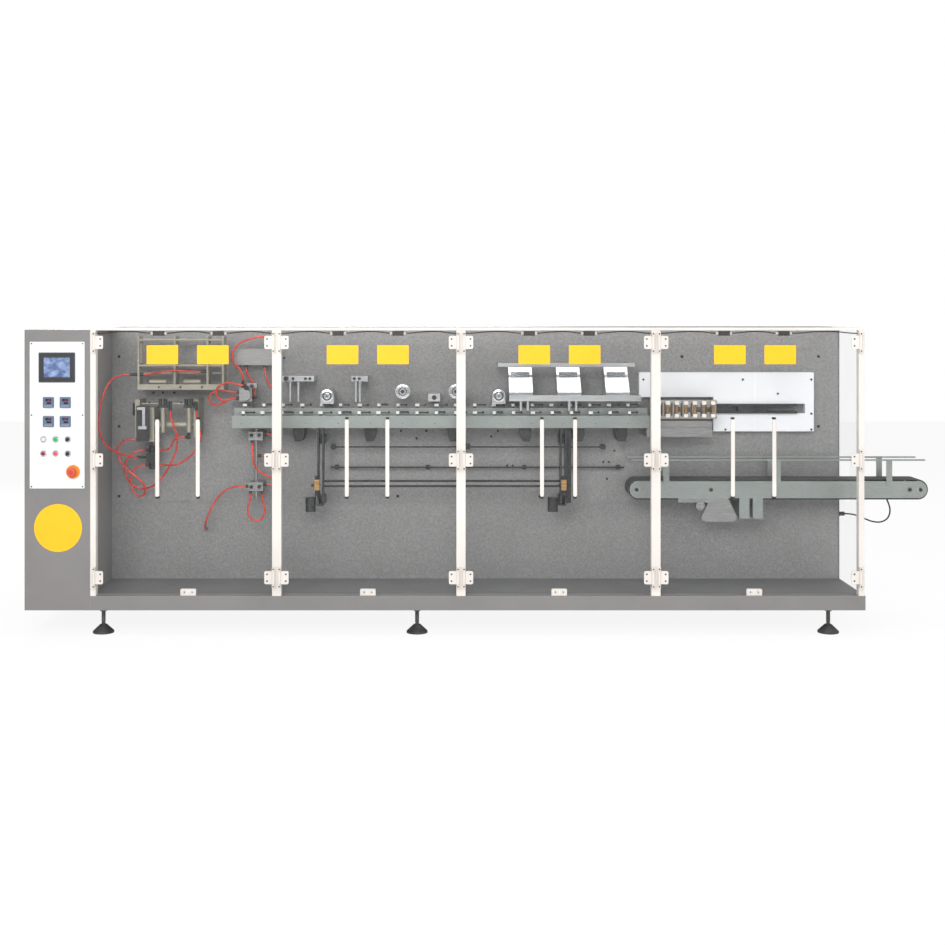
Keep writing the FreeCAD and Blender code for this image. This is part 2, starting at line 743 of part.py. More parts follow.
def make_stop():
    x, z = "control_left + control_plate_width - stop_from_edge", "stop_height"
    collar_face = "control_face - stop_collar_reach"
    head_back = "front_face - stop_reach + stop_head_thickness"
    collar = rod("stop_collar", "y", x, (collar_face, "control_face"), z, "stop_collar_radius")
    stem = rod("stop_stem", "y", x, (head_back, collar_face), z, "stop_stem_radius")
    head_y = ("front_face - stop_reach", head_back)
    head = cone("stop_head", "y", x, head_y, z, "stop_head_radius - 5", "stop_head_radius")
    node("emergency_stop", fused("emergency_stop", [collar, stem, head]))


# ---------------------------------------------------------------- base, walls and guards

def make_base():
    x = ("frame_left", "frame_right + base_overhang")
    node("base_frame", block("base_frame", x, ("front_face", "rear_face"), ("foot_height", "base_top")))

    x = ("frame_left", "guard_left")
    node("drip_tray", block("drip_tray", x, ("post_back", "wall_face"), ("base_top", "tray_top")))

    x = ("frame_left", "frame_right")
    back = ("wall_face", "rear_face")
    node("rear_housing", block("rear_housing", x, back, ("base_top", "frame_height")))

    x = ("frame_left + plate_left", "frame_left + plate_left + plate_length")
    y = ("plate_face", "wall_face")
    node("mounting_plate", plate("mounting_plate", x, y, ("plate_bottom", "plate_top"), "8"))


def make_feet():
    body = doc.addObject("PartDesign::Body", "foot")
    sketch = new_sketch(body, "foot_sketch", "y")
    dome = "foot_pad_edge + foot_dome_height"
    nut = "foot_height - foot_nut_height"
    corners = [
        ("0", "0"),
        ("foot_pad_radius", "0"),
        ("foot_pad_radius", "foot_pad_edge"),
        ("foot_pad_radius * 0.7", f"foot_pad_edge + foot_dome_height * 0.45"),
        ("foot_nut_radius", dome),
        ("foot_neck_radius", dome),
        ("foot_neck_radius", f"{dome} + 8"),
        ("foot_stem_radius", f"{dome} + 12"),
        ("foot_stem_radius", nut),
        ("foot_nut_radius", nut),
        ("foot_nut_radius", "foot_height"),
        ("0", "foot_height"),
    ]
    draw_polygon(sketch, corners)
    turned = body.newObject("PartDesign::Revolution", "foot_turned")
    turned.Profile = sketch
    turned.ReferenceAxis = (sketch, ["V_Axis"])
    turned.Angle = 360
    copies = []
    for column, place in enumerate(("foot_left", "foot_middle", "foot_right")):
        for row, y in enumerate(("front_face + foot_set_in", "rear_face - foot_set_in")):
            copies.append(copy(f"foot_{column}_{row}", body, x=f"frame_left + {place}", y=y))
    node("levelling_feet", group("levelling_feet", copies))


def post_spans():
    """Left and right edge of each of the five posts."""
    spans = [("frame_left", "frame_left + end_post_width")]
    spans += [(f"bay_{bay}_end", f"bay_{bay + 1}_start") for bay in (1, 2, 3)]
    return spans + [("bay_4_end", "frame_right")]


def make_frame():
    posts = []
    for number, x in enumerate(post_spans(), start=1):
        z = ("base_top", "rail_bottom")
        posts.append(tube(f"post_{number}", x, ("front_face", "post_back"), z, "post_wall", "z"))
    node("guard_posts", group("guard_posts", posts))

    z = ("rail_bottom", "frame_height")
    front = block("front_rail", ("frame_left", "frame_right"), ("front_face", "post_back"), z)
    sides_y = ("post_back", "wall_face")
    left = block("left_rail", ("frame_left", "frame_left + post_depth"), sides_y, z)
    right = block("right_rail", ("frame_right - post_depth", "frame_right"), sides_y, z)
    node("top_rails", fused("top_rails", [front, left, right] + make_switch_plates()))

    x = ("frame_left + post_depth", "frame_right - post_depth")
    roof_z = ("frame_height - roof_thickness", "frame_height")
    node("roof_panel", block("roof_panel", x, sides_y, roof_z))

    # the end guard is cut round the conveyor and its rails
    x = ("guard_left", "frame_right")
    guard = block("guard_sheet", x, sides_y, ("base_top", "rail_bottom"))
    clear = "guard_window_side"
    window_y = (f"conveyor_front - {clear}", f"conveyor_back + {clear}")
    window_z = (f"conveyor_bottom - {clear}", f"side_rail_height + {clear}")
    window = block("guard_window", ("guard_left - 1", "frame_right + 1"), window_y, window_z)
    node("end_guard", cut("end_guard", guard, window))


def switch_centres():
    """Centre lines of the two door switches of each bay."""
    for bay in BAYS:
        for side, sign in (("left", "-"), ("right", "+")):
            yield bay, side, f"bay_{bay}_split {sign} switch_from_split"


def make_switch_plates():
    plates = []
    y = ("front_face + switch_set_back", "front_face + switch_set_back + switch_depth")
    z = ("rail_bottom - switch_plate_thickness", "rail_bottom")
    for bay, side, centre in switch_centres():
        x = (f"{centre} - switch_plate_width / 2", f"{centre} + switch_plate_width / 2")
        plates.append(block(f"switch_plate_{bay}_{side}", x, y, z))
    return plates


def make_switches():
    pieces = []
    top = "rail_bottom - switch_plate_thickness"
    y = ("front_face + switch_set_back", "front_face + switch_set_back + switch_depth")
    for bay, side, centre in switch_centres():
        x = (f"{centre} - switch_width / 2", f"{centre} + switch_width / 2")
        pieces.append(block(f"switch_{bay}_{side}", x, y, (f"{top} - switch_height", top)))
    node("door_switches", group("door_switches", pieces))

    catches = []
    back = "front_face - door_proud + door_thickness + door_gap"
    for bay in BAYS:
        centre = f"bay_{bay}_split"
        x = (f"{centre} - catch_width / 2", f"{centre} + catch_width / 2")
        z = ("base_top", "base_top + catch_height")
        rounds = {2: "catch_round", 3: "catch_round"}
        body = prism(f"catch_{bay}", "y", (back, f"{back} + catch_depth"), box_corners(x, z), rounds)

        def holes(sketch):
            for sign in "-+":
                hole_x = f"{centre} {sign} catch_width / 4"
                draw_circle(sketch, hole_x, "base_top + catch_height / 2", "catch_hole_radius")

        catches.append(pocketed(body, "y", holes))
    node("door_catches", group("door_catches", catches))


# ---------------------------------------------------------------- doors

HINGES = (0, 1, 2)


def hinge_height(number):
    return f"hinge_low_height + {number} * hinge_pitch"


def make_hinge_brackets():
    """Fixed hinge brackets: a plate on the post, and two lugs that hold each pin."""
    face = "front_face"
    plate_y = (f"{face} - leaf_thickness", face)
    lug_y = ("pin_line - barrel_radius", f"{face} - leaf_thickness")
    lug_low, lug_high = "leaf_height / 2 + barrel_gap", "bracket_height / 2"
    pieces = []
    for number, (left, right) in enumerate(post_spans(), start=1):
        pins = []
        if number > 1:
            pins.append(f"{left} + pin_inset")
        if number < 5:
            pins.append(f"{right} - pin_inset")
        parts = [block(f"hinge_base_{number}", (left, right), plate_y, ("-bracket_height / 2", "bracket_height / 2"))]
        for side, pin in enumerate(pins):
            name = f"hinge_{number}_{side}"
            lug_x = (f"{pin} - barrel_radius", f"{pin} + barrel_radius")
            parts.append(block(f"{name}_top_lug", lug_x, lug_y, (lug_low, lug_high)))
            parts.append(block(f"{name}_low_lug", lug_x, lug_y, (f"-({lug_high})", f"-({lug_low})")))
            pin_z = (f"-({lug_high})", lug_high)
            parts.append(rod(f"{name}_pin", "z", pin, "pin_line", pin_z, "pin_radius"))
        bracket = fused(f"hinge_bracket_{number}", parts)
        for level in HINGES:
            pieces.append(copy(f"hinge_bracket_{number}_{level}", bracket, z=hinge_height(level)))
    node("hinge_brackets", group("hinge_brackets", pieces))


def make_door(bay, side):
    """One clear door, with its three moving hinge leaves and its bar handle."""
    name = f"door_{bay}_{side}"
    left = side == "left"
    away = "+" if left else "-"
    hinge_edge = f"bay_{bay}_start" if left else f"bay_{bay}_end"
    pin = f"{hinge_edge} {'-' if left else '+'} pin_inset"
    x = (f"{hinge_edge} + door_gap", f"bay_{bay}_split - door_gap / 2")
    if not left:
        x = (f"bay_{bay}_split + door_gap / 2", f"{hinge_edge} - door_gap")
    z = ("tray_top + door_gap", "rail_bottom - door_gap")
    node(f"{name}_panel", plate(f"{name}_panel", x, ("door_face", "door_back"), z, "door_round"))

    # leaf at height 0, linked to the three hinge heights
    edge = f"{pin} {away} leaf_reach"
    leaf_x = (pin, edge) if left else (edge, pin)
    leaf_z = ("-leaf_height / 2", "leaf_height / 2")
    rounds = {1: "leaf_round", 2: "leaf_round"} if left else {0: "leaf_round", 3: "leaf_round"}
    leaf = prism(f"{name}_leaf", "y", ("door_face - leaf_thickness", "door_face"), box_corners(leaf_x, leaf_z), rounds)
    barrel = rod(f"{name}_barrel", "z", pin, "pin_line", leaf_z, "barrel_radius")
    bore_z = ("-leaf_height / 2 - 1", "leaf_height / 2 + 1")
    bore = rod(f"{name}_bore", "z", pin, "pin_line", bore_z, "pin_radius + pin_clearance")
    screw_x = f"{edge} {'-' if left else '+'} leaf_screw_from_edge"
    screw_y = ("door_face - leaf_thickness - 1", "door_face - 1")
    screws = [
        rod(f"{name}_screw_{n}", "y", screw_x, screw_y, f"{sign}leaf_screw_pitch / 2", "leaf_screw_radius")
        for n, sign in enumerate("-+")
    ]
    whole = cut(f"{name}_hinge", fused(f"{name}_leaf_and_barrel", [leaf, barrel]), bore, *screws)
    leaves = [copy(f"{name}_hinge_{level}", whole, z=hinge_height(level)) for level in HINGES]

    centre = f"bay_{bay}_split {'-' if left else '+'} {name}_handle"
    bar_x = (f"{centre} - handle_width / 2", f"{centre} + handle_width / 2")
    bar_z = ("handle_bottom", "handle_bottom + handle_length")
    bar_y = ("door_face - handle_reach", "door_face - handle_reach + handle_thickness")
    bar = plate(f"{name}_bar", bar_x, bar_y, bar_z, "handle_width / 2 - 1")
    foot_y = (bar_y[1], "door_face")
    low_foot = "handle_bottom + handle_foot_from_end"
    top_foot = "handle_bottom + handle_length - handle_foot_from_end"
    feet = [
        rod(f"{name}_foot_{n}", "y", centre, foot_y, height, "handle_foot_radius")
        for n, height in enumerate((low_foot, top_foot))
    ]
    handle = fused(f"{name}_handle", [bar] + feet)
    node(f"{name}_fittings", group(f"{name}_fittings", leaves + [handle]))


# ---------------------------------------------------------------- working units

def at(place):
    """A place along the machine, from the left end of the frame."""
    return f"frame_left + {place}"


def make_magazine():
    left, right = at("magazine_left"), at("magazine_left + magazine_length")
    front = "plate_face - magazine_reach"
    base_z = ("magazine_base_height", "magazine_base_height + magazine_base_thickness")
    parts = [block("magazine_base", (left, right), (front, "plate_face"), base_z)]
    top = "magazine_side_height"
    mid = f"{left} + magazine_length * 0.42"
    third = f"{left} + magazine_length * 0.8"
    for number, place in enumerate((left, mid, third, f"{right} - magazine_side_thickness")):
        x = (place, f"{place} + magazine_side_thickness")
        y = (front, f"{front} + magazine_side_depth")
        side = block(f"magazine_side_{number}", x, y, (base_z[1], top))
        rim = "magazine_window"
        hole_y = (f"{y[0]} + {rim} / 2", f"{y[1]} - {rim} / 2")
        hole = block(f"magazine_hole_{number}", (f"{x[0]} - 1", f"{x[1]} + 1"), hole_y, (f"{base_z[1]} + {rim} * 3", f"{top} - {rim}"))
        parts.append(cut(f"magazine_side_cut_{number}", side, hole))
    span = (left, right)
    rods = (
        (f"{front} + 12", f"{base_z[1]} + 97"),
        (f"{front} + 78", f"{base_z[1]} + 55"),
        (f"{front} + 78", f"{base_z[1]} + 97"),
        (f"{front} + 12", f"{top} - 20"),
        (f"{front} + 78", f"{top} - 20"),
    )
    for number, (y, z) in enumerate(rods):
        parts.append(rod(f"magazine_rod_{number}", "x", span, y, z, "magazine_rod_radius"))
    for number, place in enumerate((f"{left} + 60", f"{mid} + 50")):
        x = (place, f"{place} + magazine_cylinder_length")
        z = f"{base_z[1]} + magazine_cylinder_radius - 1"
        parts.append(rod(f"magazine_cylinder_{number}", "x", x, f"{front} + 22", z, "magazine_cylinder_radius"))
    node("pouch_magazine", fused("pouch_magazine", parts))


def make_pickup():
    left, right = at("pickup_left"), at("pickup_left + pickup_length")
    front = "plate_face - pickup_reach"
    z = ("pickup_bottom", "pickup_top")
    parts = []
    for number, place in enumerate((left, f"{right} - pickup_plate_thickness")):
        x = (place, f"{place} + pickup_plate_thickness")
        parts.append(block(f"pickup_side_{number}", x, (front, "plate_face"), z))
    shaft = rod("pickup_shaft", "x", (left, right), f"{front} + 30", "pickup_shaft_height", "pickup_shaft_radius")
    tie_bar = rod("pickup_tie", "x", (left, right), f"{front} + 40", "pickup_top - 24", "magazine_rod_radius")
    inner_x = (f"{left} + pickup_plate_thickness", f"{left} + pickup_plate_thickness + pickup_block_length")
    inner_z = ("pickup_block_bottom", "pickup_top - 42")
    parts += [shaft, tie_bar, block("pickup_block", inner_x, (f"{front} + 2", "plate_face"), inner_z)]
    line = "plate_face - pickup_cylinder_reach"
    for number in (0, 1):
        x = f"{left} + pickup_cylinder_inset + {number} * pickup_cylinder_pitch"
        low, high = "pickup_bottom + 30", "pickup_top - 42"
        parts.append(rod(f"suction_cylinder_{number}", "z", x, line, (low, high), "pickup_cylinder_radius"))
        arm_x = (f"{x} - pickup_arm_width / 2", f"{x} + pickup_arm_width / 2")
        arm_z = ("pickup_shaft_height - 12", "pickup_shaft_height + 12")
        parts.append(block(f"suction_arm_{number}", arm_x, (line, f"{front} + 34"), arm_z))
    node("pickup_unit", fused("pickup_unit", parts))


def make_regulator():
    """Air regulator on a bracket; its upper and lower ports carry four of the hoses."""
    side = "regulator_side"
    x = (at("regulator_left"), at(f"regulator_left + {side}"))
    front = "plate_face - regulator_reach"
    z = ("regulator_bottom", f"regulator_bottom + {side}")
    body = block("regulator_body", x, (front, f"{front} + {side}"), z)
    centre, line = at(f"regulator_left + {side} / 2"), f"{front} + {side} / 2"
    bracket_x = (f"{centre} - 8", f"{centre} + 8")
    bracket = block("regulator_bracket", bracket_x, (f"{front} + {side}", "plate_face"), (f"{z[0]} + 12", f"{z[1]} - 12"))
    parts = [body, bracket]
    for name, low, high in (("bowl", f"{z[0]} - regulator_bowl_height", z[0]), ("knob", z[1], f"{z[1]} + regulator_bowl_height")):
        parts.append(rod(f"regulator_{name}", "z", centre, line, (low, high), "regulator_bowl_radius"))
    reach = "regulator_bowl_radius + fitting_length"
    for number, height in enumerate((f"{z[0]} - 14", f"{z[1]} + 14")):
        span = (f"{centre} - ({reach})", f"{centre} + ({reach})")
        parts.append(rod(f"regulator_port_{number}", "x", span, line, height, "fitting_radius"))
    node("air_regulator", fused("air_regulator", parts))


def make_beam():
    left, right = at("beam_left"), at("beam_left + beam_length")
    z = ("beam_bottom", "beam_top")
    beam = tube("beam_tube", (left, right), ("beam_front", "beam_back"), z, "beam_wall", "x")
    front_y = ("beam_front", "beam_front + rack_thickness")
    front = block("front_rack", (left, right), front_y, ("beam_top", "beam_top + rack_height"))
    rear_y = ("rear_rack_front", "rear_rack_front + rack_thickness")
    rear = block("rear_rack", (left, right), rear_y, ("beam_bottom", "beam_top + rear_rack_height"))
    arms = []
    spacer_z = ("beam_bottom", "beam_bottom + 20")
    for number, place in enumerate((0.05, 0.5, 0.95)):
        centre = f"{left} + beam_length * {place}"
        arms.append(block(f"rack_spacer_{number}", (f"{centre} - 20", f"{centre} + 20"), ("beam_back", rear_y[0]), spacer_z))
    node("transfer_beam", fused("transfer_beam", [beam, front, rear] + arms))


def make_clamps():
    """Pouch clamps: two rows of cranked jaws that face each other across the transfer path."""
    rows = (
        ("front_jaw", "beam_front", "beam_front + rack_thickness", "beam_top + rack_height", "+"),
        ("rear_jaw", "rear_rack_front + rack_thickness", "rear_rack_front", "beam_top + rear_rack_height", "-"),
    )
    bodies = []
    for name, outside, inside, seat, way in rows:
        thick = "clamp_thickness"
        corners = [
            (outside, seat),
            (f"{outside} {way} {thick}", seat),
            (f"{outside} {way} {thick}", f"{seat} + clamp_height - {thick}"),
            (f"{inside} {way} clamp_jaw", f"{seat} + clamp_height - {thick}"),
            (f"{inside} {way} clamp_jaw", f"{seat} + clamp_height"),
            (outside, f"{seat} + clamp_height"),
        ]
        start = at("beam_left + clamp_pitch / 2")
        body = prism(name, "x", (start, f"{start} + clamp_width"), corners)
        doc.recompute()
        jaw = body.Tip
        pattern = body.newObject("PartDesign::LinearPattern", f"{name}_row")
        pattern.Originals = [jaw]
        pattern.Direction = (origin_plane(body, "x"), "")
        bind(pattern, Length="floor(beam_length / clamp_pitch - 1) * clamp_pitch")
        bind(pattern, Occurrences="floor(beam_length / clamp_pitch)")
        body.Tip = pattern
        bodies.append(body)
    node("pouch_clamps", group("pouch_clamps", bodies))


BEARINGS = (1010, 1382, 1815, 2195, 2470, 2693)


def make_bearings():
    pieces = []
    front = "beam_front + bearing_front_set_back"
    for number, place in enumerate(BEARINGS):
        centre = at(str(place))
        top, low = "bearing_width / 2", "bearing_foot_width / 2"
        z = ("beam_bottom - bearing_height", "beam_bottom - bearing_height / 2", "beam_bottom")
        corners = [
            (f"{centre} - {low}", z[0]),
            (f"{centre} + {low}", z[0]),
            (f"{centre} + {top}", z[1]),
            (f"{centre} + {top}", z[2]),
            (f"{centre} - {top}", z[2]),
            (f"{centre} - {top}", z[1]),
        ]
        rounds = {0: "6", 1: "6"}
        pieces.append(prism(f"bearing_{number}", "y", (front, "plate_face"), corners, rounds))
    node("bearing_brackets", group("bearing_brackets", pieces))


def make_opener():
    """Opening station: a block on the plate with a hub, and a clamped column below the beam."""
    x = (at("opener_left"), at("opener_left + opener_width"))
    front = "plate_face - opener_reach"
    z = ("opener_bottom", "opener_bottom + opener_height")
    arm = block("opener_arm", x, (f"{front} + opener_hub_length", "plate_face"), z)
    centre = at("opener_left + opener_width / 2")
    hub_y = (front, f"{front} + opener_hub_length")
    hub = rod("opener_hub", "y", centre, hub_y, f"{z[0]} + opener_height / 2", "opener_hub_radius")
    head_x = (f"{centre} + 8", f"{centre} + 60")
    head = block("opener_head", head_x, (f"{front} + 20", f"{front} + 60"), (f"{z[1]}", f"{z[1]} + 26"))
    upper = fused("opener_upper", [arm, hub, head])

    cover_x = (at("valve_cover_left"), at("valve_cover_left + valve_cover_length"))
    cover_top = "frame_height - valve_cover_drop"
    cover_z = (f"{cover_top} - valve_cover_height", cover_top)
    cover = block("valve_cover", cover_x, ("plate_face - valve_cover_reach", "plate_face"), cover_z)

    line = "beam_back + 40"
    column_z = ("opener_column_height", "beam_bottom - 10")
    column_x = at("opener_left + 82")
    column = rod("opener_column", "z", column_x, line, column_z, "opener_column_radius")
    side = "opener_block_side"
    blocks = []
    for number, height in enumerate(("opener_column_height + 40", "beam_bottom - 70")):
        bx = (f"{column_x} - opener_block_width / 2", f"{column_x} + opener_block_width / 2")
        bz = (height, f"{height} + {side}")
        blocks.append(block(f"opener_block_{number}", bx, (f"{line} - {side} / 2", "plate_face"), bz))
    lower = fused("opener_lower", [column] + blocks)
    node("opening_station", group("opening_station", [upper, lower, cover]))


def make_stations():
    """Coding head, notcher, bearing dials, pulling discs and jaws above the beam."""
    pieces = []
    z = ("coder_height", "coder_height + coder_thickness")
    front = "plate_face - coder_reach"
    for name, left, length in (("coder", "coder_left", "coder_length"), ("notcher", "notcher_left", "notcher_length")):
        x = (at(left), at(f"{left} + {length}"))
        parts = [block(f"{name}_bar", x, (front, "plate_face"), z)]
        guide_z = ("beam_top + rear_rack_height + clamp_height + 12", z[0])
        for number, share in enumerate((0.25, 0.5)):
            centre = f"{x[0]} + {length} * {share}"
            parts.append(rod(f"{name}_guide_{number}", "z", centre, f"{front} + 24", guide_z, "coder_guide_radius"))
        pieces.append(fused(f"{name}_unit", parts))

    for name, place in (("first", "first_dial"), ("second", "second_dial")):
        centre = at(place)
        front = "plate_face - dial_reach"
        r = "bearing_dial_radius"
        housing_x = (f"{centre} - {r}", f"{centre} + {r}")
        foot_z = (f"dial_height - {r} - 8", "dial_height")
        foot = block(f"{name}_dial_foot", housing_x, (f"{front} + 10", "plate_face"), foot_z)
        barrel = rod(f"{name}_dial_barrel", "y", centre, (front, "plate_face"), "dial_height", r)
        groove_y = (f"{front} - 1", f"{front} + dial_ring_thickness")
        outer = rod(f"{name}_ring_outer", "y", centre, groove_y, "dial_height", "dial_ring_radius")
        inner = rod(f"{name}_ring_inner", "y", centre, groove_y, "dial_height", "dial_ring_radius - 8")
        groove = cut(f"{name}_ring", outer, inner)
        pieces.append(cut(f"{name}_dial", fused(f"{name}_dial_body", [foot, barrel]), groove))

    for number in (0, 1):
        centre = at(f"first_disc + {number} * disc_pitch")
        front = "plate_face - disc_reach"
        disc = rod(f"disc_{number}", "y", centre, (front, f"{front} + disc_thickness"), "disc_height", "disc_radius")
        second_y = (f"{front} + 2 * disc_thickness", f"{front} + 3 * disc_thickness")
        second = rod(f"second_disc_{number}", "y", centre, second_y, "disc_height", "disc_radius")
        shaft = rod(f"disc_shaft_{number}", "y", centre, (front, "plate_face"), "disc_height", "disc_shaft_radius")
        pieces.append(fused(f"disc_unit_{number}", [disc, second, shaft]))

    x = (at("jaw_block_left"), at("jaw_block_left + jaw_block_length"))
    y = ("plate_face - disc_reach", "plate_face")
    z = ("jaw_block_bottom", "jaw_block_bottom + jaw_block_height")
    pieces.append(block("jaw_block", x, y, z))
    node("station_units", group("station_units", pieces))


def make_sealers():
    """Three sealing units with sloping polished faces, on a bar carried by guide columns."""
    units = []
    low, lip = "sealer_bottom", "sealer_bottom + sealer_lip_height"
    top = "sealer_bottom + sealer_height"
    profile = [
        ("sealer_front", low),
        ("sealer_back", low),
        ("sealer_back", top),
        ("sealer_front + sealer_slope", top),
        ("sealer_front", lip),
    ]
    start = at("sealer_left")
    body = prism("sealer_body", "x", (start, f"{start} + sealer_width"), profile)
    # the window is a box laid square to the sloping face
    rise = mm(f"{top} - ({lip})")
    lean = mm("sealer_slope")
    tilt = math.degrees(math.atan2(lean, rise))
    window = doc.addObject("Part::Box", "sealer_window")
    window.Placement = Placement(Vector(), Rotation(Vector(1, 0, 0), -tilt))
    bind(window, Length="sealer_width - 2 * sealer_window_border", Width="2 * sealer_window_depth")
    bind(window, Height="sealer_window_height", place_x=f"{start} + sealer_window_border")
    share = 0.58
    bind(window, place_y=f"sealer_front + sealer_slope * {share} - sealer_window_depth * {math.cos(math.radians(tilt)):.4f}")
    bind(window, place_z=f"{lip} + ({top} - ({lip})) * {share} + sealer_window_depth * {math.sin(math.radians(tilt)):.4f}")
    unit = cut("sealer_unit", body, window)
    for number in (0, 1, 2):
        units.append(copy(f"sealer_{number}", unit, x=f"{number} * sealer_pitch"))
    node("sealing_units", group("sealing_units", units))

    bar_x = (start, f"{start} + sealer_beam_length")
    bar_z = (f"{low} - sealer_beam_height", low)
    bar_y = ("sealer_front", "sealer_front + sealer_beam_thickness")
    parts = [block("sealer_bar", bar_x, bar_y, bar_z)]
    for number in (0, 1, 2):
        x = (f"{start} + {number} * sealer_pitch", f"{start} + {number} * sealer_pitch + sealer_width")
        parts.append(block(f"sealer_seat_{number}", x, (bar_y[1], "plate_face"), (f"{low} - sealer_beam_height / 2", low)))
    column_z = ("beam_top + rack_height + clamp_height + 6", bar_z[0])
    for number in (0, 1):
        for side in (0, 1):
            x = f"{start} + 60 + {number} * sealer_pitch + {side} * sealer_column_pitch"
            parts.append(rod(f"sealer_column_{number}_{side}", "z", x, "sealer_front + 11", column_z, "sealer_column_radius"))
    carrier = fused("sealer_bar_unit", parts)

    x = (at("sealer_rail_left"), at("sealer_rail_left + sealer_rail_length"))
    front = "plate_face - sealer_rail_reach"
    z = ("sealer_rail_bottom", "sealer_rail_bottom + sealer_rail_height")
    parts = [block("upper_rail_bar", x, (front, f"{front} + sealer_rail_thickness"), z)]
    for number, place in enumerate((x[0], f"{x[1]} - rail_arm_width")):
        arm_x = (place, f"{place} + rail_arm_width")
        parts.append(block(f"upper_rail_arm_{number}", arm_x, (front, "plate_face"), z))
    node("sealer_carrier", group("sealer_carrier", [carrier, fused("upper_rail_unit", parts)]))


def make_cooling():
    left, right = at("cover_left"), at("cover_left + cover_length")
    notch = at("cover_left + cover_notch_length")
    corners = [
        (notch, "cover_bottom"),
        (right, "cover_bottom"),
        (right, "cover_top"),
        (left, "cover_top"),
        (left, "cover_notch_top"),
        (notch, "cover_notch_top"),
        (notch, "cover_slot_bottom + cover_slot_height"),
        (f"{right} - cover_slot_end", "cover_slot_bottom + cover_slot_height"),
        (f"{right} - cover_slot_end", "cover_slot_bottom"),
        (notch, "cover_slot_bottom"),
    ]
    corners = corners[:5] + [(notch, "cover_notch_top")] + corners[6:]
    face = "plate_face - cover_depth"
    rounds = {1: "cover_round", 2: "cover_round", 3: "cover_round"}
    node("cooling_cover", prism("cooling_cover", "y", (face, "plate_face"), corners, rounds))

    x0 = notch
    slot_top = "cover_slot_bottom + cover_slot_height"
    y = ("plate_face - actuator_reach", "plate_face")
    rail_x = (x0, f"{x0} + actuator_length")
    gap = "seat_gap"
    top_rail = block("actuator_top", rail_x, y, (f"{slot_top} - {gap} - actuator_rail_height", f"{slot_top} - {gap}"))
    low_rail = block("actuator_low", rail_x, y, (f"cover_slot_bottom + {gap}", f"cover_slot_bottom + {gap} + actuator_rail_height"))
    slider_x = (f"{x0} + slider_offset", f"{x0} + slider_offset + slider_length")
    slider_z = (f"cover_slot_bottom + {gap} + actuator_rail_height", f"{slot_top} - {gap} - actuator_rail_height")
    slider = block("actuator_slider", slider_x, (f"{y[0]} + 6", y[1]), slider_z)
    node("discharge_actuator", fused("discharge_actuator", [top_rail, low_rail, slider]))

    # clamp bars with their tips, carried from the plate behind
    front = "plate_face - cooler_reach"
    start = at("cooler_left")
    parts = []
    for number, height in enumerate(("cooler_bottom", "cooler_bottom + cooler_span")):
        bar_x = (start, f"{start} + cooler_bar_length")
        bar_z = (height, f"{height} + cooler_bar_height")
        parts.append(block(f"cooler_bar_{number}", bar_x, (front, f"{front} + 20"), bar_z))
    arm_z = ("cooler_bottom", "cooler_bottom + cooler_span + cooler_bar_height")
    for number, place in enumerate((start, f"{start} + cooler_bar_length - 14")):
        parts.append(block(f"cooler_arm_{number}", (place, f"{place} + 14"), (f"{front} + 20", "plate_face"), arm_z))
    for number in range(6):
        x = f"{start} + 26 + {number} * cooler_pitch"
        for row, height in enumerate(("cooler_bottom + cooler_bar_height", "cooler_bottom + cooler_span - cooler_tip_height")):
            tip_x = (f"{x} - cooler_tip_width / 2", f"{x} + cooler_tip_width / 2")
            tip_z = (height, f"{height} + cooler_tip_height")
            parts.append(block(f"cooler_tip_{number}_{row}", tip_x, (f"{front} - 6", f"{front} + 14"), tip_z))
    low = "cooler_bottom + cooler_bar_height"
    high = "cooler_bottom + cooler_span"
    for number in range(5):
        x = f"{start} + 52 + {number} * cooler_pitch"
        parts.append(rod(f"spring_{number}", "z", x, f"{front} + 10", (low, high), "spring_radius"))
    node("cooling_clamps", fused("cooling_clamps", parts))

    x = (at("chute_left"), at("chute_left + chute_length"))
    chute = block("chute_box", x, (front, "plate_face"), ("chute_bottom", "chute_bottom + chute_height"))
    press_z = ("chute_bottom + chute_height", "chute_bottom + chute_height + press_height")
    press = block("press_bar", (f"{x[0]} + press_inset", x[1]), (f"{front} + 10", "plate_face"), press_z)
    node("lower_chute", fused("lower_chute", [chute, press]))


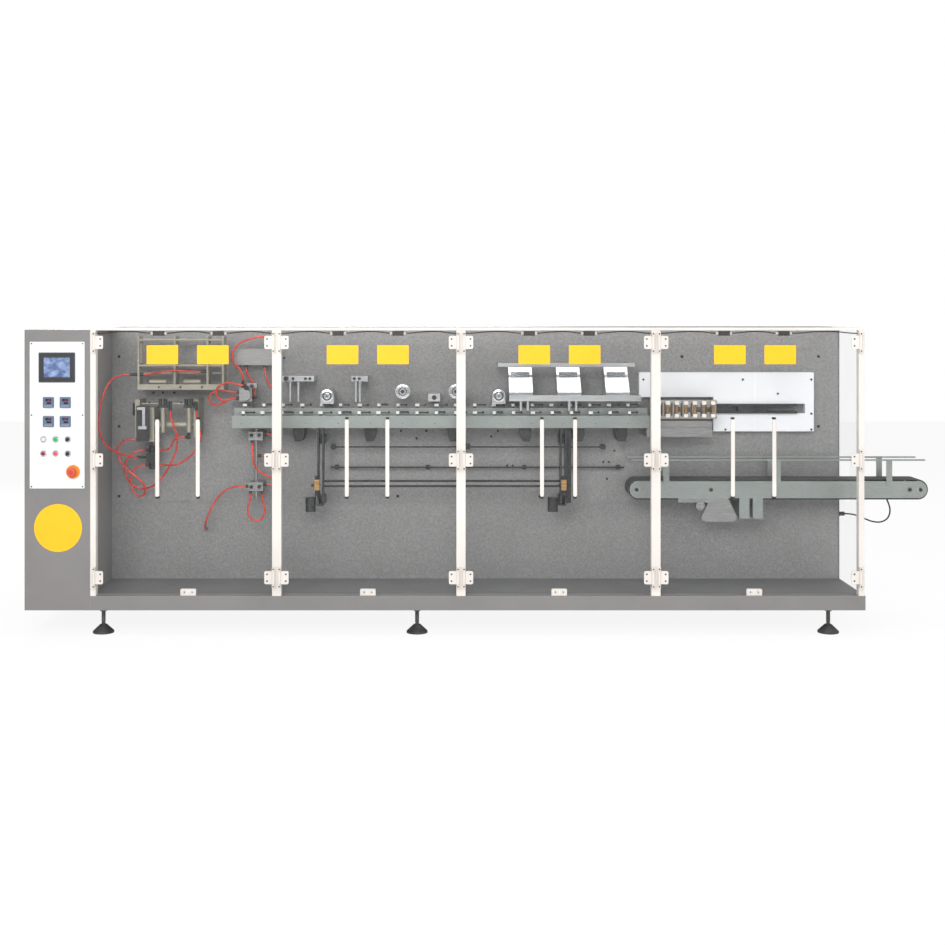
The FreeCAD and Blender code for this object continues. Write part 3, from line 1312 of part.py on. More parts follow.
def make_slides():
    """Two upright slides with their drives, and the flat bar beside the second."""
    pieces = []
    top = "beam_bottom - seat_gap"
    motor_side = "2 * slide_motor_radius"
    for name, place in (("first", "first_slide"), ("second", "second_slide")):
        x = (at(place), at(f"{place} + slide_width"))
        z = ("slide_bottom", top)
        y = ("plate_face - rod_reach - slide_depth / 2", "plate_face - rod_reach + slide_depth / 2")
        outer = block(f"{name}_slide_body", x, y, z)
        inner_x = (f"{x[0]} + slide_wall", f"{x[1]} - slide_wall")
        inner_z = ("slide_bottom + slide_wall", f"{top} - slide_wall")
        inner = block(f"{name}_slide_gap", inner_x, (f"{y[0]} - 1", f"{y[1]} + 1"), inner_z)
        slide = cut(f"{name}_slide_rail", outer, inner)
        centre = f"{x[0]} - slide_motor_radius - 10"
        motor_z = ("slide_bottom - 33", "slide_bottom - 33 + slide_motor_height")
        motor = rod(f"{name}_slide_motor", "z", centre, "plate_face - rod_reach", motor_z, "slide_motor_radius")
        arm = block(f"{name}_motor_arm", (centre, x[0]), ("plate_face - rod_reach - 10", "plate_face - rod_reach + 10"), ("slide_bottom", "slide_bottom + 20"))
        brackets = []
        for number, height in enumerate(("slide_bottom", "beam_bottom - 2.2 * slide_bracket_height")):
            bracket_z = (height, f"{height} + slide_bracket_height")
            brackets.append(block(f"{name}_slide_bracket_{number}", x, (y[1], "plate_face"), bracket_z))
        pieces.append(fused(f"{name}_slide", [slide, motor, arm] + brackets))
    bar_left = at("second_slide + slide_width")
    bar_y = ("plate_face - rod_reach", "plate_face - rod_reach + slide_wall")
    bar = block("slide_bar", (bar_left, f"{bar_left} + slide_bar_width"), bar_y, ("slide_bottom + 10", top))
    pieces[1] = fused("second_slide_and_bar", [pieces[1], bar])
    node("lift_slides", group("lift_slides", pieces))


def make_rods():
    """Level rods between the slides, held by small blocks on the plate."""
    pieces = []
    line = "plate_face - rod_reach"
    left, right = at("first_slide + slide_width"), at("second_slide")
    for name, height in (("upper", "upper_rod_height"), ("lower", "lower_rod_height")):
        pieces.append(rod(f"{name}_rod", "x", (left, right), line, height, "rod_radius"))

    x0 = at("rod_left")
    bar_y = ("plate_face - rail_clamp_side - cross_bar_thickness", "plate_face - rail_clamp_side")
    half = "cross_bar_thickness / 2"
    bar = block("cross_bar", (x0, f"{x0} + cross_bar_length"), bar_y, (f"cross_bar_height - {half}", f"cross_bar_height + {half}"))
    parts = [bar]
    side = "rail_clamp_side"
    for number, share in enumerate((0.02, 0.33, 0.66, 0.98)):
        centre = f"{x0} + cross_bar_length * {share}"
        x = (f"{centre} - {side} / 2", f"{centre} + {side} / 2")
        z = (f"cross_bar_height - {side} / 2", f"cross_bar_height + {side} / 2")
        parts.append(block(f"cross_bar_clamp_{number}", x, (bar_y[1], "plate_face"), z))
    shaft_y = f"plate_face - cross_shaft_reach"
    shaft = rod("cross_shaft", "x", (x0, f"{x0} + cross_shaft_length"), shaft_y, "cross_shaft_height", "cross_shaft_radius")
    others = [shaft]
    for number, share in enumerate((0.01, 0.5, 0.99)):
        centre = f"{x0} + cross_shaft_length * {share}"
        x = (f"{centre} - {side} / 2", f"{centre} + {side} / 2")
        z = (f"cross_shaft_height - {side} / 2", f"cross_shaft_height + {side} / 2")
        others.append(block(f"cross_shaft_clamp_{number}", x, (f"{shaft_y} - {side} / 2", "plate_face"), z))
    pieces += [fused("cross_bar_unit", parts), fused("cross_shaft_unit", others)]
    node("guide_rails", group("guide_rails", pieces))


# ---------------------------------------------------------------- discharge conveyor

def make_conveyor():
    centre = "conveyor_centre_height"
    axle_left, axle_right = "conveyor_start + belt_radius", "conveyor_end - belt_radius"
    # the two side plates have round ends about the drum axles
    sides = []
    for name, y in (
        ("front", ("conveyor_front", "conveyor_front + side_plate_thickness")),
        ("rear", ("conveyor_back - side_plate_thickness", "conveyor_back")),
    ):
        draw = lambda sketch: draw_slot(sketch, axle_left, axle_right, centre, "plate_height_below")
        side = padded(f"conveyor_{name}", "y", y, draw)

        def bores(sketch):
            for place in (axle_left, axle_right):
                draw_circle(sketch, place, centre, "axle_radius + seat_gap")

        sides.append(pocketed(side, "y", bores))
    cross = []
    inner = ("conveyor_front + side_plate_thickness", "conveyor_back - side_plate_thickness")
    for number, share in enumerate((0.2, 0.5, 0.8)):
        x = f"conveyor_start + (conveyor_end - conveyor_start) * {share}"
        cross.append(rod(f"conveyor_cross_{number}", "y", x, inner, centre, "axle_radius"))
    face = "conveyor_front"
    for number in (0, 1):
        x0 = f"{at('bracket_left')} + {number} * bracket_pitch"
        z = ("bracket_bottom", "side_bottom")
        face_x, web_x = (x0, f"{x0} + bracket_length"), (x0, f"{x0} + bracket_thickness")
        cross.append(block(f"conveyor_bracket_{number}", face_x, (face, f"{face} + side_plate_thickness"), z))
        web_z = (z[0], "conveyor_bottom - 4")
        cross.append(block(f"conveyor_bracket_web_{number}", web_x, (face, "plate_face"), web_z))
    node("conveyor_frame", fused("conveyor_frame", sides + cross))

    belt_y = ("belt_front", "belt_front + belt_width")
    draw = lambda sketch: draw_slot(sketch, axle_left, axle_right, centre, "belt_radius")
    belt = padded("conveyor_belt", "y", belt_y, draw)
    inside = lambda sketch: draw_slot(sketch, axle_left, axle_right, centre, "belt_radius - belt_thickness")
    node("conveyor_belt", pocketed(belt, "y", inside))

    drums = []
    for number, x in enumerate((axle_left, axle_right)):
        drum = rod(f"drum_{number}", "y", x, belt_y, centre, "belt_radius - belt_thickness - drum_inset")
        axle = rod(f"axle_{number}", "y", x, ("conveyor_front - 2", "conveyor_back + 2"), centre, "axle_radius")
        drums.append(fused(f"drum_and_axle_{number}", [drum, axle]))
    node("conveyor_drums", group("conveyor_drums", drums))

    rails = []
    for name, y, outer in (
        ("front", ("conveyor_front", "conveyor_front + side_rail_depth"), ("conveyor_front - rail_stand_thickness", "conveyor_front")),
        ("rear", ("conveyor_back - side_rail_depth", "conveyor_back"), ("conveyor_back", "conveyor_back + rail_stand_thickness")),
    ):
        half = "side_rail_thickness / 2"
        x = ("conveyor_start + side_rail_end", "conveyor_end - side_rail_end")
        parts = [block(f"{name}_rail", x, y, (f"side_rail_height - {half}", f"side_rail_height + {half}"))]
        for number in (0, 1, 2):
            place = f"conveyor_start + first_stand + {number} * stand_pitch"
            stand_x = (f"{place} - rail_stand_width / 2", f"{place} + rail_stand_width / 2")
            parts.append(block(f"{name}_stand_{number}", stand_x, outer, (f"{centre} + 20", f"side_rail_height + {half}")))
        rails.append(fused(f"{name}_rail_unit", parts))
    node("side_rails", group("side_rails", rails))


def make_drive():
    """Cover plate, gear motor and tension arm under the conveyor."""
    top = "side_bottom"
    left = at("cover_plate_left")
    base, crown, drop = "cover_plate_base", "cover_plate_crown", "cover_plate_drop"
    mid = f"{left} + {base} / 2"
    face = "conveyor_front"
    corners = [
        (left, f"{top} - {drop}"),
        (f"{left} + {base}", f"{top} - {drop}"),
        (f"{mid} + {crown} / 2", top),
        (f"{mid} - {crown} / 2", top),
    ]
    rounds = {0: "cover_plate_round", 1: "cover_plate_round"}
    cover = prism("drive_cover", "y", (face, f"{face} + side_plate_thickness"), corners, rounds)
    motor_z = f"{top} - {drop} + motor_radius + 10"
    motor_y = (f"{face} + side_plate_thickness", f"{face} + side_plate_thickness + motor_length")
    motor = rod("drive_motor", "y", mid, motor_y, motor_z, "motor_radius")
    gearbox_x = (f"{mid} - motor_radius", f"{mid} + motor_radius")
    gearbox = block("drive_gearbox", gearbox_x, (motor_y[0], f"{motor_y[0]} + 60"), (motor_z, "conveyor_bottom - 4"))
    knob_y = (f"{face} - knob_length / 3", f"{face} + knob_length")
    arm_x = (f"{left} - tension_arm_length / 2", f"{mid} - {crown} / 2")
    arm = block("tension_arm", arm_x, (face, f"{face} + 8"), (f"{top} - tension_arm_height", top))
    knob_z = f"{top} - tension_arm_height - knob_radius + 6"
    knob = rod("tension_knob", "y", f"{left} + 4", knob_y, knob_z, "knob_radius")
    node("conveyor_drive", fused("conveyor_drive", [cover, motor, gearbox, arm, knob]))


# ---------------------------------------------------------------- cables and hoses

def rounded_path(points):
    """Straight runs joined by tangent arcs, as large as the two runs at each point allow."""
    edges, radii = [], []
    here = points[0]
    for n in range(1, len(points) - 1):
        before, corner, after = points[n - 1], points[n], points[n + 1]
        u, v = (before - corner), (after - corner)
        shorter = min(u.Length, v.Length)
        u.normalize()
        v.normalize()
        turn = math.pi - u.getAngle(v)
        cut_back = 0.45 * shorter
        radii.append(cut_back / math.tan(turn / 2))
        a, b = corner + u * cut_back, corner + v * cut_back
        middle = u + v
        middle.normalize()
        depth = cut_back / math.cos((math.pi - turn) / 2) if turn < math.pi else cut_back
        top = corner + middle * (depth - radii[-1])
        edges.append(Part.LineSegment(here, a).toShape())
        edges.append(Part.Arc(a, top, b).toShape())
        here = b
    edges.append(Part.LineSegment(here, points[-1]).toShape())
    return edges, radii


def hose_solid(name, points, radius):
    """A plain round tube along a route; its volume is checked against its length."""
    edges, radii = rounded_path(points)
    wire = Part.Wire(edges)
    way = points[1] - points[0]
    ring = Part.Wire(Part.makeCircle(radius, points[0], way))
    solid = wire.makePipeShell([ring], True, False)
    expected = math.pi * radius * radius * wire.Length
    if not solid.isValid() or abs(solid.Volume / expected - 1) > 0.02:
        raise RuntimeError(f"{name}: the tube is not sound")
    print(f"{name}: {wire.Length:.0f} mm long, smallest radius {min(radii):.0f} mm" if radii else name)
    return solid


def hoses(name, routes, radius):
    """Cords of one kind in one node; each route is a list of points in formulas or numbers."""
    solids = []
    for number, route in enumerate(routes):
        points = [Vector(*(mm(value) for value in point)) for point in route]
        solids.append(hose_solid(f"{name} {number + 1}", points, mm(radius)))
    item = doc.addObject("Part::Feature", name)
    item.Shape = Part.Compound(solids)
    return node(name, item)


def hose_point(x, y, z):
    """A point of a hose's route: along the machine, behind the post fronts, and above the floor."""
    return (at(str(x)), f"front_face + {y}", str(z))


# Routes of the air hoses. Each starts and ends at a fitting.
HOSE_ROUTES = {
    "big_loop": [
        (128, 314, 1290), (101, 314, 1290), (56, 292, 1279), (39, 248, 1257), (30, 206, 1229),
        (22, 169, 1194), (18, 139, 1152), (15, 119, 1105), (15, 113, 1054), (17, 120, 1003), (25, 143, 958),
        (41, 180, 926), (64, 220, 900), (96, 258, 880), (134, 290, 862), (160, 325, 852), (160, 350, 852),
    ],
    "upper_magazine": [
        (198, 314, 1290), (225, 314, 1290), (274, 299, 1300), (321, 283, 1309), (373, 281, 1310),
        (421, 297, 1308), (470, 314, 1304), (497, 314, 1304),
    ],
    "lower_loop": [
        (161, 320, 950), (134, 320, 950), (86, 320, 942), (57, 320, 902), (63, 322, 853), (90, 324, 812),
        (125, 326, 776), (166, 327, 747), (203, 327, 711), (205, 339, 661), (159, 356, 644),
        (125, 361, 682), (119, 361, 733), (128, 361, 784), (171, 361, 812), (198, 361, 812),
    ],
    "first_suction": [
        (345, 274, 1104), (345, 274, 1077), (358, 281, 1029), (375, 297, 985), (377, 309, 936),
        (367, 320, 888), (348, 329, 843), (325, 338, 800), (297, 349, 759), (266, 360, 722),
        (226, 371, 694), (177, 378, 684), (130, 379, 699), (97, 374, 736), (86, 365, 784), (95, 357, 833),
        (124, 357, 874), (171, 361, 890), (198, 361, 890),
    ],
    "second_suction": [
        (480, 274, 1104), (480, 274, 1077), (492, 280, 1027), (501, 291, 978), (491, 298, 928),
        (465, 301, 884), (428, 303, 849), (385, 315, 824), (343, 343, 811), (295, 361, 812),
        (268, 361, 812),
    ],
    "short_bridge": [
        (268, 361, 890), (291, 361, 890), (330, 347, 899), (346, 315, 923), (360, 286, 952),
        (399, 274, 966), (422, 274, 966),
    ],
    "upper_arc": [
        (873, 418, 1487), (873, 391, 1487), (855, 345, 1488), (813, 322, 1487), (765, 316, 1481),
        (719, 316, 1465), (680, 316, 1438), (657, 319, 1397), (662, 330, 1352), (694, 344, 1321),
        (712, 350, 1283), (712, 350, 1256),
    ],
    "first_drop": [
        (721, 390, 1325), (721, 390, 1302), (745, 376, 1264), (776, 362, 1235), (774.3, 350, 1201),
        (774.3, 350, 1176),
    ],
    "second_drop": [
        (822, 390, 1325), (822, 390, 1302), (831, 379, 1262), (853, 357, 1234), (874, 341, 1203),
        (883, 335, 1163), (883, 335, 1140),
    ],
    "right_loop": [
        (723, 308, 1234), (700, 308, 1234), (661, 294, 1248), (621, 274, 1246), (586, 266, 1222),
        (583, 276, 1178), (617, 295, 1152), (659, 308, 1164), (682, 308, 1164),
    ],
    "flat_loop": [
        (682, 344, 1196), (659, 344, 1196), (615, 340, 1205), (570, 331, 1206), (534, 332, 1177),
        (542, 340, 1132), (587, 348, 1123), (623, 346, 1153), (659, 344, 1166), (682, 344, 1166),
    ],
    "elbow_loop": [
        (837, 350, 975), (860, 350, 975), (899, 350, 954), (902, 350, 910), (875, 350, 875),
        (833, 350, 862), (810, 350, 862),
    ],
    "left_drop": [
        (762, 344, 930), (762, 344, 903), (765, 332, 851), (781, 300, 812), (814, 273, 782),
        (862, 259, 761), (908, 279, 740), (914, 329, 719), (864, 350, 712), (837, 350, 712),
    ],
    "hanging_loop": [
        (752, 346, 664), (752, 346, 641), (741, 346, 600), (736, 347, 557), (760, 348, 521),
        (804, 348, 521), (829, 347, 557), (823, 346, 600), (812, 346, 641), (812, 346, 664),
    ],
    "wall_hose": [
        (727, 350, 702), (700, 350, 702), (649, 357, 696), (606, 369, 672), (571, 376, 636),
        (544, 374, 592), (524, 365, 545), (510, 365, 495), (503, 407, 466), (503, 434, 466),
    ],
}

# The conveyor's motor cable, from its gland on the right-hand end of the rear housing.
CABLE_ROUTE = [
    (3911, 500, 537), (3936, 500, 537), (3975, 496, 530), (4014, 484, 513), (4053, 468, 498),
    (4094, 452, 497), (4126, 437, 520), (4136, 428, 560), (4126, 423, 600), (4108, 423, 636),
    (4108, 423, 662),
]

# The switch cable between two of its ends: share of the distance, and rise as a share of the loom's rise.
LOOM_SHAPE = [(0, 0), (0.1, 0), (0.3, 0.66), (0.52, 1), (0.73, 0.8), (0.91, 0), (1, 0)]

# Straight fittings: axis, span along it, and the two other coordinates, placed as the hoses' points are.
FITTINGS = {
    "magazine_left": ("x", (128, 169.7), 314, 1290),
    "magazine_inner": ("x", (180.3, 198), 314, 1290),
    "magazine_right": ("x", (497, 529.7), 314, 1304),
    "pickup_left": ("x", (161, 181.7), 320, 950),
    "arc_start": ("y", 873, (418, 450), 1487),
    "arc_end": ("z", 712, 350, (1220, 1256)),
    "first_drop_start": ("z", 721, 390, (1325, 1337)),
    "first_drop_end": ("z", 774.3, 350, (1158, 1176)),
    "second_drop_start": ("z", 822, 390, (1325, 1337)),
    "second_drop_end": ("z", 883, 335, (1114, 1140)),
    "right_loop_start": ("x", (723, 740.7), 308, 1234),
    "right_loop_end": ("x", (682, 699.7), 308, 1164),
    "flat_loop_start": ("x", (682, 699.7), 344, 1196),
    "flat_loop_end": ("x", (682, 699.7), 344, 1166),
    "elbow_loop_start": ("x", (819.3, 837), 350, 975),
    "elbow_loop_end": ("x", (791.3, 810), 350, 862),
    "left_drop_start": ("z", 762, 344, (930, 945)),
    "left_drop_end": ("x", (819.3, 837), 350, 712),
    "hanging_start": ("z", 752, 346, (664, 680)),
    "hanging_end": ("z", 812, 346, (664, 680)),
    "wall_hose_start": ("x", (727, 744.7), 350, 702),
    "wall_hose_end": ("y", 503, (434, 450), 466),
}


def fitting(name, axis, x, y, z, radius="fitting_radius"):
    """A round black fitting; the span is the pair among the three places."""
    spans = {"x": x, "y": y, "z": z}
    places = {}
    for letter, value in spans.items():
        points = [hose_point(*(part if other == letter else 0 for other in "xyz")) for part in
                  (value if letter == axis else (value,))]
        written = tuple(point["xyz".index(letter)] for point in points)
        places[letter] = written if letter == axis else written[0]
    return rod(name, axis, places["x"], places["y"], places["z"], radius)


def make_fittings():
    pieces = [fitting(f"fitting_{name}", *place) for name, place in FITTINGS.items()]

    elbow = [
        fitting("elbow_level", "x", (148, 207.7), 376, 852),
        fitting("elbow_forward", "y", 160, (350, 376), 852, "fitting_radius - 1"),
    ]
    pieces.append(fused("regulator_elbow", elbow))
    bridge = [
        fitting("bridge_level", "x", (422, 442), 274, 966),
        fitting("bridge_upright", "z", 442, 274, (956, 990.7)),
    ]
    pieces.append(fused("bridge_elbow", bridge))
    valve = [
        fitting("valve_body", "z", 146, 330, (1075, 1140)),
        fitting("valve_stub", "x", (146, 157.7), 330, 1108, "fitting_radius / 2"),
    ]
    pieces.append(fused("hand_valve", valve))

    # a block with two posts and a hanging plug on top of each suction cylinder
    for number, centre in enumerate((307, 442)):
        name = f"cap_{number}"
        x = (at(f"{centre} - 25"), at(f"{centre} + 25"))
        y = ("front_face + 262", "front_face + 286")
        low = "pickup_top - 41.7"
        parts = [block(f"{name}_block", x, y, (low, f"{low} + 14"))]
        for side in (-13, 13):
            parts.append(fitting(f"{name}_post_{side + 13}", "z", centre + side, 274, (1125, 1166), "fitting_radius + 2"))
        parts.append(fitting(f"{name}_plug", "z", centre + 38, 274, (1104, 1152), "fitting_radius + 1"))
        parts.append(fitting(f"{name}_arm", "x", (centre + 13, centre + 38), 274, 1145, "fitting_radius - 2"))
        pieces.append(fused(name, parts))
    node("air_fittings", group("air_fittings", pieces))


def make_hoses():
    routes = [[hose_point(*point) for point in route] for route in HOSE_ROUTES.values()]
    hoses("air_hoses", routes, "hose_radius")
    hoses("motor_cable", [[hose_point(*point) for point in CABLE_ROUTE]], "cable_radius")

    line = "front_face + switch_set_back + switch_depth / 2"
    looms = []
    for bay in BAYS:
        first, second = f"bay_{bay}_split - switch_from_split", f"bay_{bay}_split + switch_from_split"
        half = "switch_width / 2"
        spans = (
            (f"bay_{bay}_start", f"{first} - {half}"),
            (f"{first} + {half}", f"{second} - {half}"),
            (f"{second} + {half}", f"bay_{bay}_end"),
        )
        for low, high in spans:
            looms.append([
                (f"({low}) + (({high}) - ({low})) * {share}", line, f"loom_height + loom_rise * {rise}")
                for share, rise in LOOM_SHAPE
            ])
    hoses("switch_cables", looms, "loom_radius")


def make_cable_fittings():
    """The motor cable's gland on the rear housing, and its socket on the conveyor's rear side plate."""
    line = "wall_face + gland_set_back"
    span = ("frame_right", "frame_right + gland_length")
    gland = rod("gland_body", "x", span, line, "gland_height", "gland_radius")
    nut_span = ("frame_right", "frame_right + gland_length / 3")
    nut = rod("gland_nut", "x", nut_span, line, "gland_height", "gland_radius + 4")
    x = (at("4108 - 20"), at("4108 + 20"))
    y = ("conveyor_back + seat_gap", "conveyor_back + seat_gap + 24")
    socket = block("cable_socket", x, y, ("662", "702"))
    node("cable_fittings", group("cable_fittings", [fused("cable_gland", [gland, nut]), socket]))


make_cabinet()
make_screen()
make_controllers()
make_buttons()
make_stop()
make_base()
make_feet()
make_frame()
make_switches()
make_hinge_brackets()
for bay in BAYS:
    for side in SIDES:
        make_door(bay, side)
make_magazine()
make_pickup()
make_regulator()
make_beam()
make_clamps()
make_bearings()
make_opener()
make_stations()
make_sealers()
make_cooling()
make_slides()
make_rods()
make_conveyor()
make_drive()
make_fittings()
make_cable_fittings()
make_hoses()

doc.recompute()

for item in doc.Objects:
    if "Invalid" in item.State or "Error" in item.State:
        raise RuntimeError(f"{item.Label}: {item.State}")
for name, item in NODES:
    shape = item.Shape
    if shape.isNull() or not shape.isValid():
        raise RuntimeError(f"{name}: the shape is not sound")

os.makedirs("parts", exist_ok=True)
for name, item in NODES:
    item.Shape.exportStep(f"parts/{name}.step")
print(f"{len(NODES)} sub-parts, {mm('machine_length'):.0f} mm long")
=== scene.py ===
# %% [markdown]
# # A horizontal pouch packing machine
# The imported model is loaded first, as a fixed frame in metres. The steps below give each of its
# nodes a finish and add the small pieces that a builder of such a machine would bolt or clip on.

# %% Load the machine
import json
import math

import bmesh
import bpy
from mathutils import Matrix, Vector


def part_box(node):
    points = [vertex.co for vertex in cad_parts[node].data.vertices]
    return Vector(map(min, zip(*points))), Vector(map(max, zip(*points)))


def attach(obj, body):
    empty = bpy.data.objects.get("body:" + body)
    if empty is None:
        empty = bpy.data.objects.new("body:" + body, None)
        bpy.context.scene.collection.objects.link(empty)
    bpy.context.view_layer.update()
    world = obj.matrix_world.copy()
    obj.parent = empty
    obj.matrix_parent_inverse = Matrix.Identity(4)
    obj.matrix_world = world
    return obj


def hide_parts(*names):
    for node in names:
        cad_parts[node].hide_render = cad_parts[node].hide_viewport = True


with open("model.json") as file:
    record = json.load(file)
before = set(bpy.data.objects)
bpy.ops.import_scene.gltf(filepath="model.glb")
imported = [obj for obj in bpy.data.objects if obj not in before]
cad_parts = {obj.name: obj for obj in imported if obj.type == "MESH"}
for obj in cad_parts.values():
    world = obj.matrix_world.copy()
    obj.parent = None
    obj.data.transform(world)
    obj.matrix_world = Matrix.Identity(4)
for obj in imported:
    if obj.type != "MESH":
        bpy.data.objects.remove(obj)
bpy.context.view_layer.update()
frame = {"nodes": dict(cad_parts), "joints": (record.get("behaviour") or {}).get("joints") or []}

NODES = frame["nodes"]
DOORS = [f"door_{bay}_{side}" for bay in (1, 2, 3, 4) for side in ("left", "right")]

# %% [markdown]
# ## Camera, room and lamps
# The machine is looked at straight on, from 7 m in front of its doors, at eye height. The camera
# stays level and its shift slides the picture instead, so that uprights stay upright.

# %% Camera
camera_data = bpy.data.cameras.new("camera")
camera_data.sensor_width = 36
camera_data.lens = 53.33
camera_data.shift_x = 0.0238
camera_data.shift_y = -0.1635
camera = bpy.data.objects.new("camera", camera_data)
camera.location = (-0.174, -7.426, 1.585)
camera.rotation_euler = (math.radians(90), 0, 0)
bpy.context.scene.collection.objects.link(camera)
bpy.context.scene.camera = camera
bpy.context.scene.view_settings.view_transform = "Standard"

# %% [markdown]
# Shader maths reads best as ordinary sums. `Socket` wraps one output of a node, and a sum on it
# adds the Math node that does it. `Paint` holds one material and makes its other nodes.

# %% Sums on sockets


class Socket:
    """One value in a material; sums on it add Math nodes."""

    def __init__(self, paint, output):
        self.paint = paint
        self.output = output

    def maths(self, operation, first, second=0.0):
        return self.paint.node("ShaderNodeMath", {"operation": operation}, {0: first, 1: second})

    def __add__(self, other):
        return self.maths("ADD", self, other)

    def __sub__(self, other):
        return self.maths("SUBTRACT", self, other)

    def __rsub__(self, other):
        return self.maths("SUBTRACT", other, self)

    def __mul__(self, other):
        return self.maths("MULTIPLY", self, other)

    def __pow__(self, other):
        return self.maths("POWER", self, other)

    def __gt__(self, other):
        return self.maths("GREATER_THAN", self, other)

    def __lt__(self, other):
        return self.maths("LESS_THAN", self, other)

    __radd__ = __add__
    __rmul__ = __mul__


class Paint:
    """A material whose colour, roughness and relief are written as sums."""

    def __init__(self, name):
        self.material = bpy.data.materials.new(name)
        self.material.use_nodes = True
        self.tree = self.material.node_tree
        self.shader = self.tree.nodes["Principled BSDF"]

    def node(self, kind, settings, inputs, output=0):
        made = self.tree.nodes.new(kind)
        for key, value in settings.items():
            if key == "stops":
                self.set_stops(made.color_ramp, value)
            else:
                setattr(made, key, value)
        for key, value in inputs.items():
            self.plug(made.inputs[key], value)
        return Socket(self, made.outputs[output])

    def set_stops(self, ramp, stops):
        while len(ramp.elements) < len(stops):
            ramp.elements.new(0.5)
        for element, (place, colour) in zip(ramp.elements, stops):
            element.position = place
            element.color = (*colour, 1)

    def plug(self, socket, value):
        if isinstance(value, Socket):
            self.tree.links.new(value.output, socket)
        elif isinstance(value, tuple) and len(value) == 3 and socket.type == "RGBA":
            socket.default_value = (*value, 1)
        else:
            socket.default_value = value

    def place(self, scale=(1, 1, 1)):
        point = self.node("ShaderNodeTexCoord", {}, {}, "Object")
        return self.node("ShaderNodeVectorMath", {"operation": "MULTIPLY"}, {0: point, 1: scale})

    def height(self):
        return self.node("ShaderNodeSeparateXYZ", {}, {0: self.place()}, "Z")

    def noise(self, scale, detail=4, stretch=(1, 1, 1)):
        inputs = {"Vector": self.place(stretch), "Scale": scale, "Detail": detail}
        return self.node("ShaderNodeTexNoise", {}, inputs)

    def cells(self, scale, stretch=(1, 1, 1)):
        inputs = {"Vector": self.place(stretch), "Scale": scale}
        return self.node("ShaderNodeTexVoronoi", {}, inputs, "Distance")

    def ramp(self, value, *stops):
        return self.node("ShaderNodeValToRGB", {"stops": stops}, {0: value})

    def blend(self, share, first, second):
        inputs = {0: share, 6: first, 7: second}
        return self.node("ShaderNodeMix", {"data_type": "RGBA"}, inputs, 2)

    def edge_wear_and_highlight(self, radius=0.003):
        """1 on an edge and 0 on a flat face: a mask for paint rubbed off the corners of enamel, and for painted
        highlights on the edges of metal.
        """
        flat = self.node("ShaderNodeNewGeometry", {}, {}, "Normal")
        rounded = self.node("ShaderNodeBevel", {"samples": 4}, {"Radius": radius})
        both = {0: flat, 1: rounded}
        along = self.node("ShaderNodeVectorMath", {"operation": "DOT_PRODUCT"}, both, "Value")
        return (1 - along) * 6

    def relief(self, height, strength=0.3, distance=0.001):
        inputs = {"Strength": strength, "Distance": distance, "Height": height}
        self.plug(self.shader.inputs["Normal"], self.node("ShaderNodeBump", {}, inputs))

    def finish(self, colour, roughness, metallic=0.0, **others):
        self.plug(self.shader.inputs["Base Color"], colour)
        self.plug(self.shader.inputs["Roughness"], roughness)
        self.plug(self.shader.inputs["Metallic"], metallic)
        for key, value in others.items():
            self.plug(self.shader.inputs[key.replace("_", " ").title().replace("Ior", "IOR")], value)
        return self.material


def grey(level):
    return (level, level, level)


def tone(red, green, blue):
    """A screen colour, 0 to 255, as the linear one that a shader takes."""

    def straight(part):
        part = part / 255
        return part / 12.92 if part <= 0.04045 else ((part + 0.055) / 1.055) ** 2.4

    return (straight(red), straight(green), straight(blue))


# %% [markdown]
# The room is a pale floor under an even white sky. What the camera sees of the sky is plain white,
# while the light that reaches the machine is lower, so pale paint doesn't burn out.

# %% Room and lamps
world = bpy.data.worlds.new("sky")
world.use_nodes = True
bpy.context.scene.world = world
sky = world.node_tree
background = sky.nodes["Background"]
background.inputs["Color"].default_value = (1, 1, 1, 1)
seen = sky.nodes.new("ShaderNodeLightPath")
level = sky.nodes.new("ShaderNodeMapRange")
level.inputs["To Min"].default_value = 0.52
level.inputs["To Max"].default_value = 1.0
sky.links.new(seen.outputs["Is Camera Ray"], level.inputs["Value"])
sky.links.new(level.outputs["Result"], background.inputs["Strength"])

floor_mesh = bpy.data.meshes.new("floor")
FLOOR_REACH = 14
corners = [(x * FLOOR_REACH, y * FLOOR_REACH, -0.0005) for x, y in ((-1, -1), (1, -1), (1, 1), (-1, 1))]
floor_mesh.from_pydata(corners, [], [(0, 1, 2, 3)])
floor = bpy.data.objects.new("floor", floor_mesh)
bpy.context.scene.collection.objects.link(floor)
floor_paint = Paint("pale_floor")
tree = floor_paint.tree
matt = tree.nodes.new("ShaderNodeBsdfDiffuse")
matt.inputs["Color"].default_value = (0.9, 0.9, 0.9, 1)
white = tree.nodes.new("ShaderNodeEmission")
white.inputs["Strength"].default_value = 1.0
share = tree.nodes.new("ShaderNodeMixShader")
path = tree.nodes.new("ShaderNodeLightPath")
part = tree.nodes.new("ShaderNodeMath")
part.operation = "MULTIPLY"
part.inputs[1].default_value = 0.9
tree.links.new(path.outputs["Is Camera Ray"], part.inputs[0])
tree.links.new(part.outputs[0], share.inputs[0])
tree.links.new(matt.outputs[0], share.inputs[1])
tree.links.new(white.outputs[0], share.inputs[2])
tree.links.new(share.outputs[0], tree.nodes["Material Output"].inputs["Surface"])
floor_mesh.materials.append(floor_paint.material)


def lamp(name, place, aim, size, watts):
    data = bpy.data.lights.new(name, "AREA")
    data.shape = "RECTANGLE"
    data.size, data.size_y = size
    data.energy = watts
    light = bpy.data.objects.new(name, data)
    light.location = place
    light.rotation_euler = (Vector(aim) - Vector(place)).to_track_quat("-Z", "Y").to_euler()
    bpy.context.scene.collection.objects.link(light)


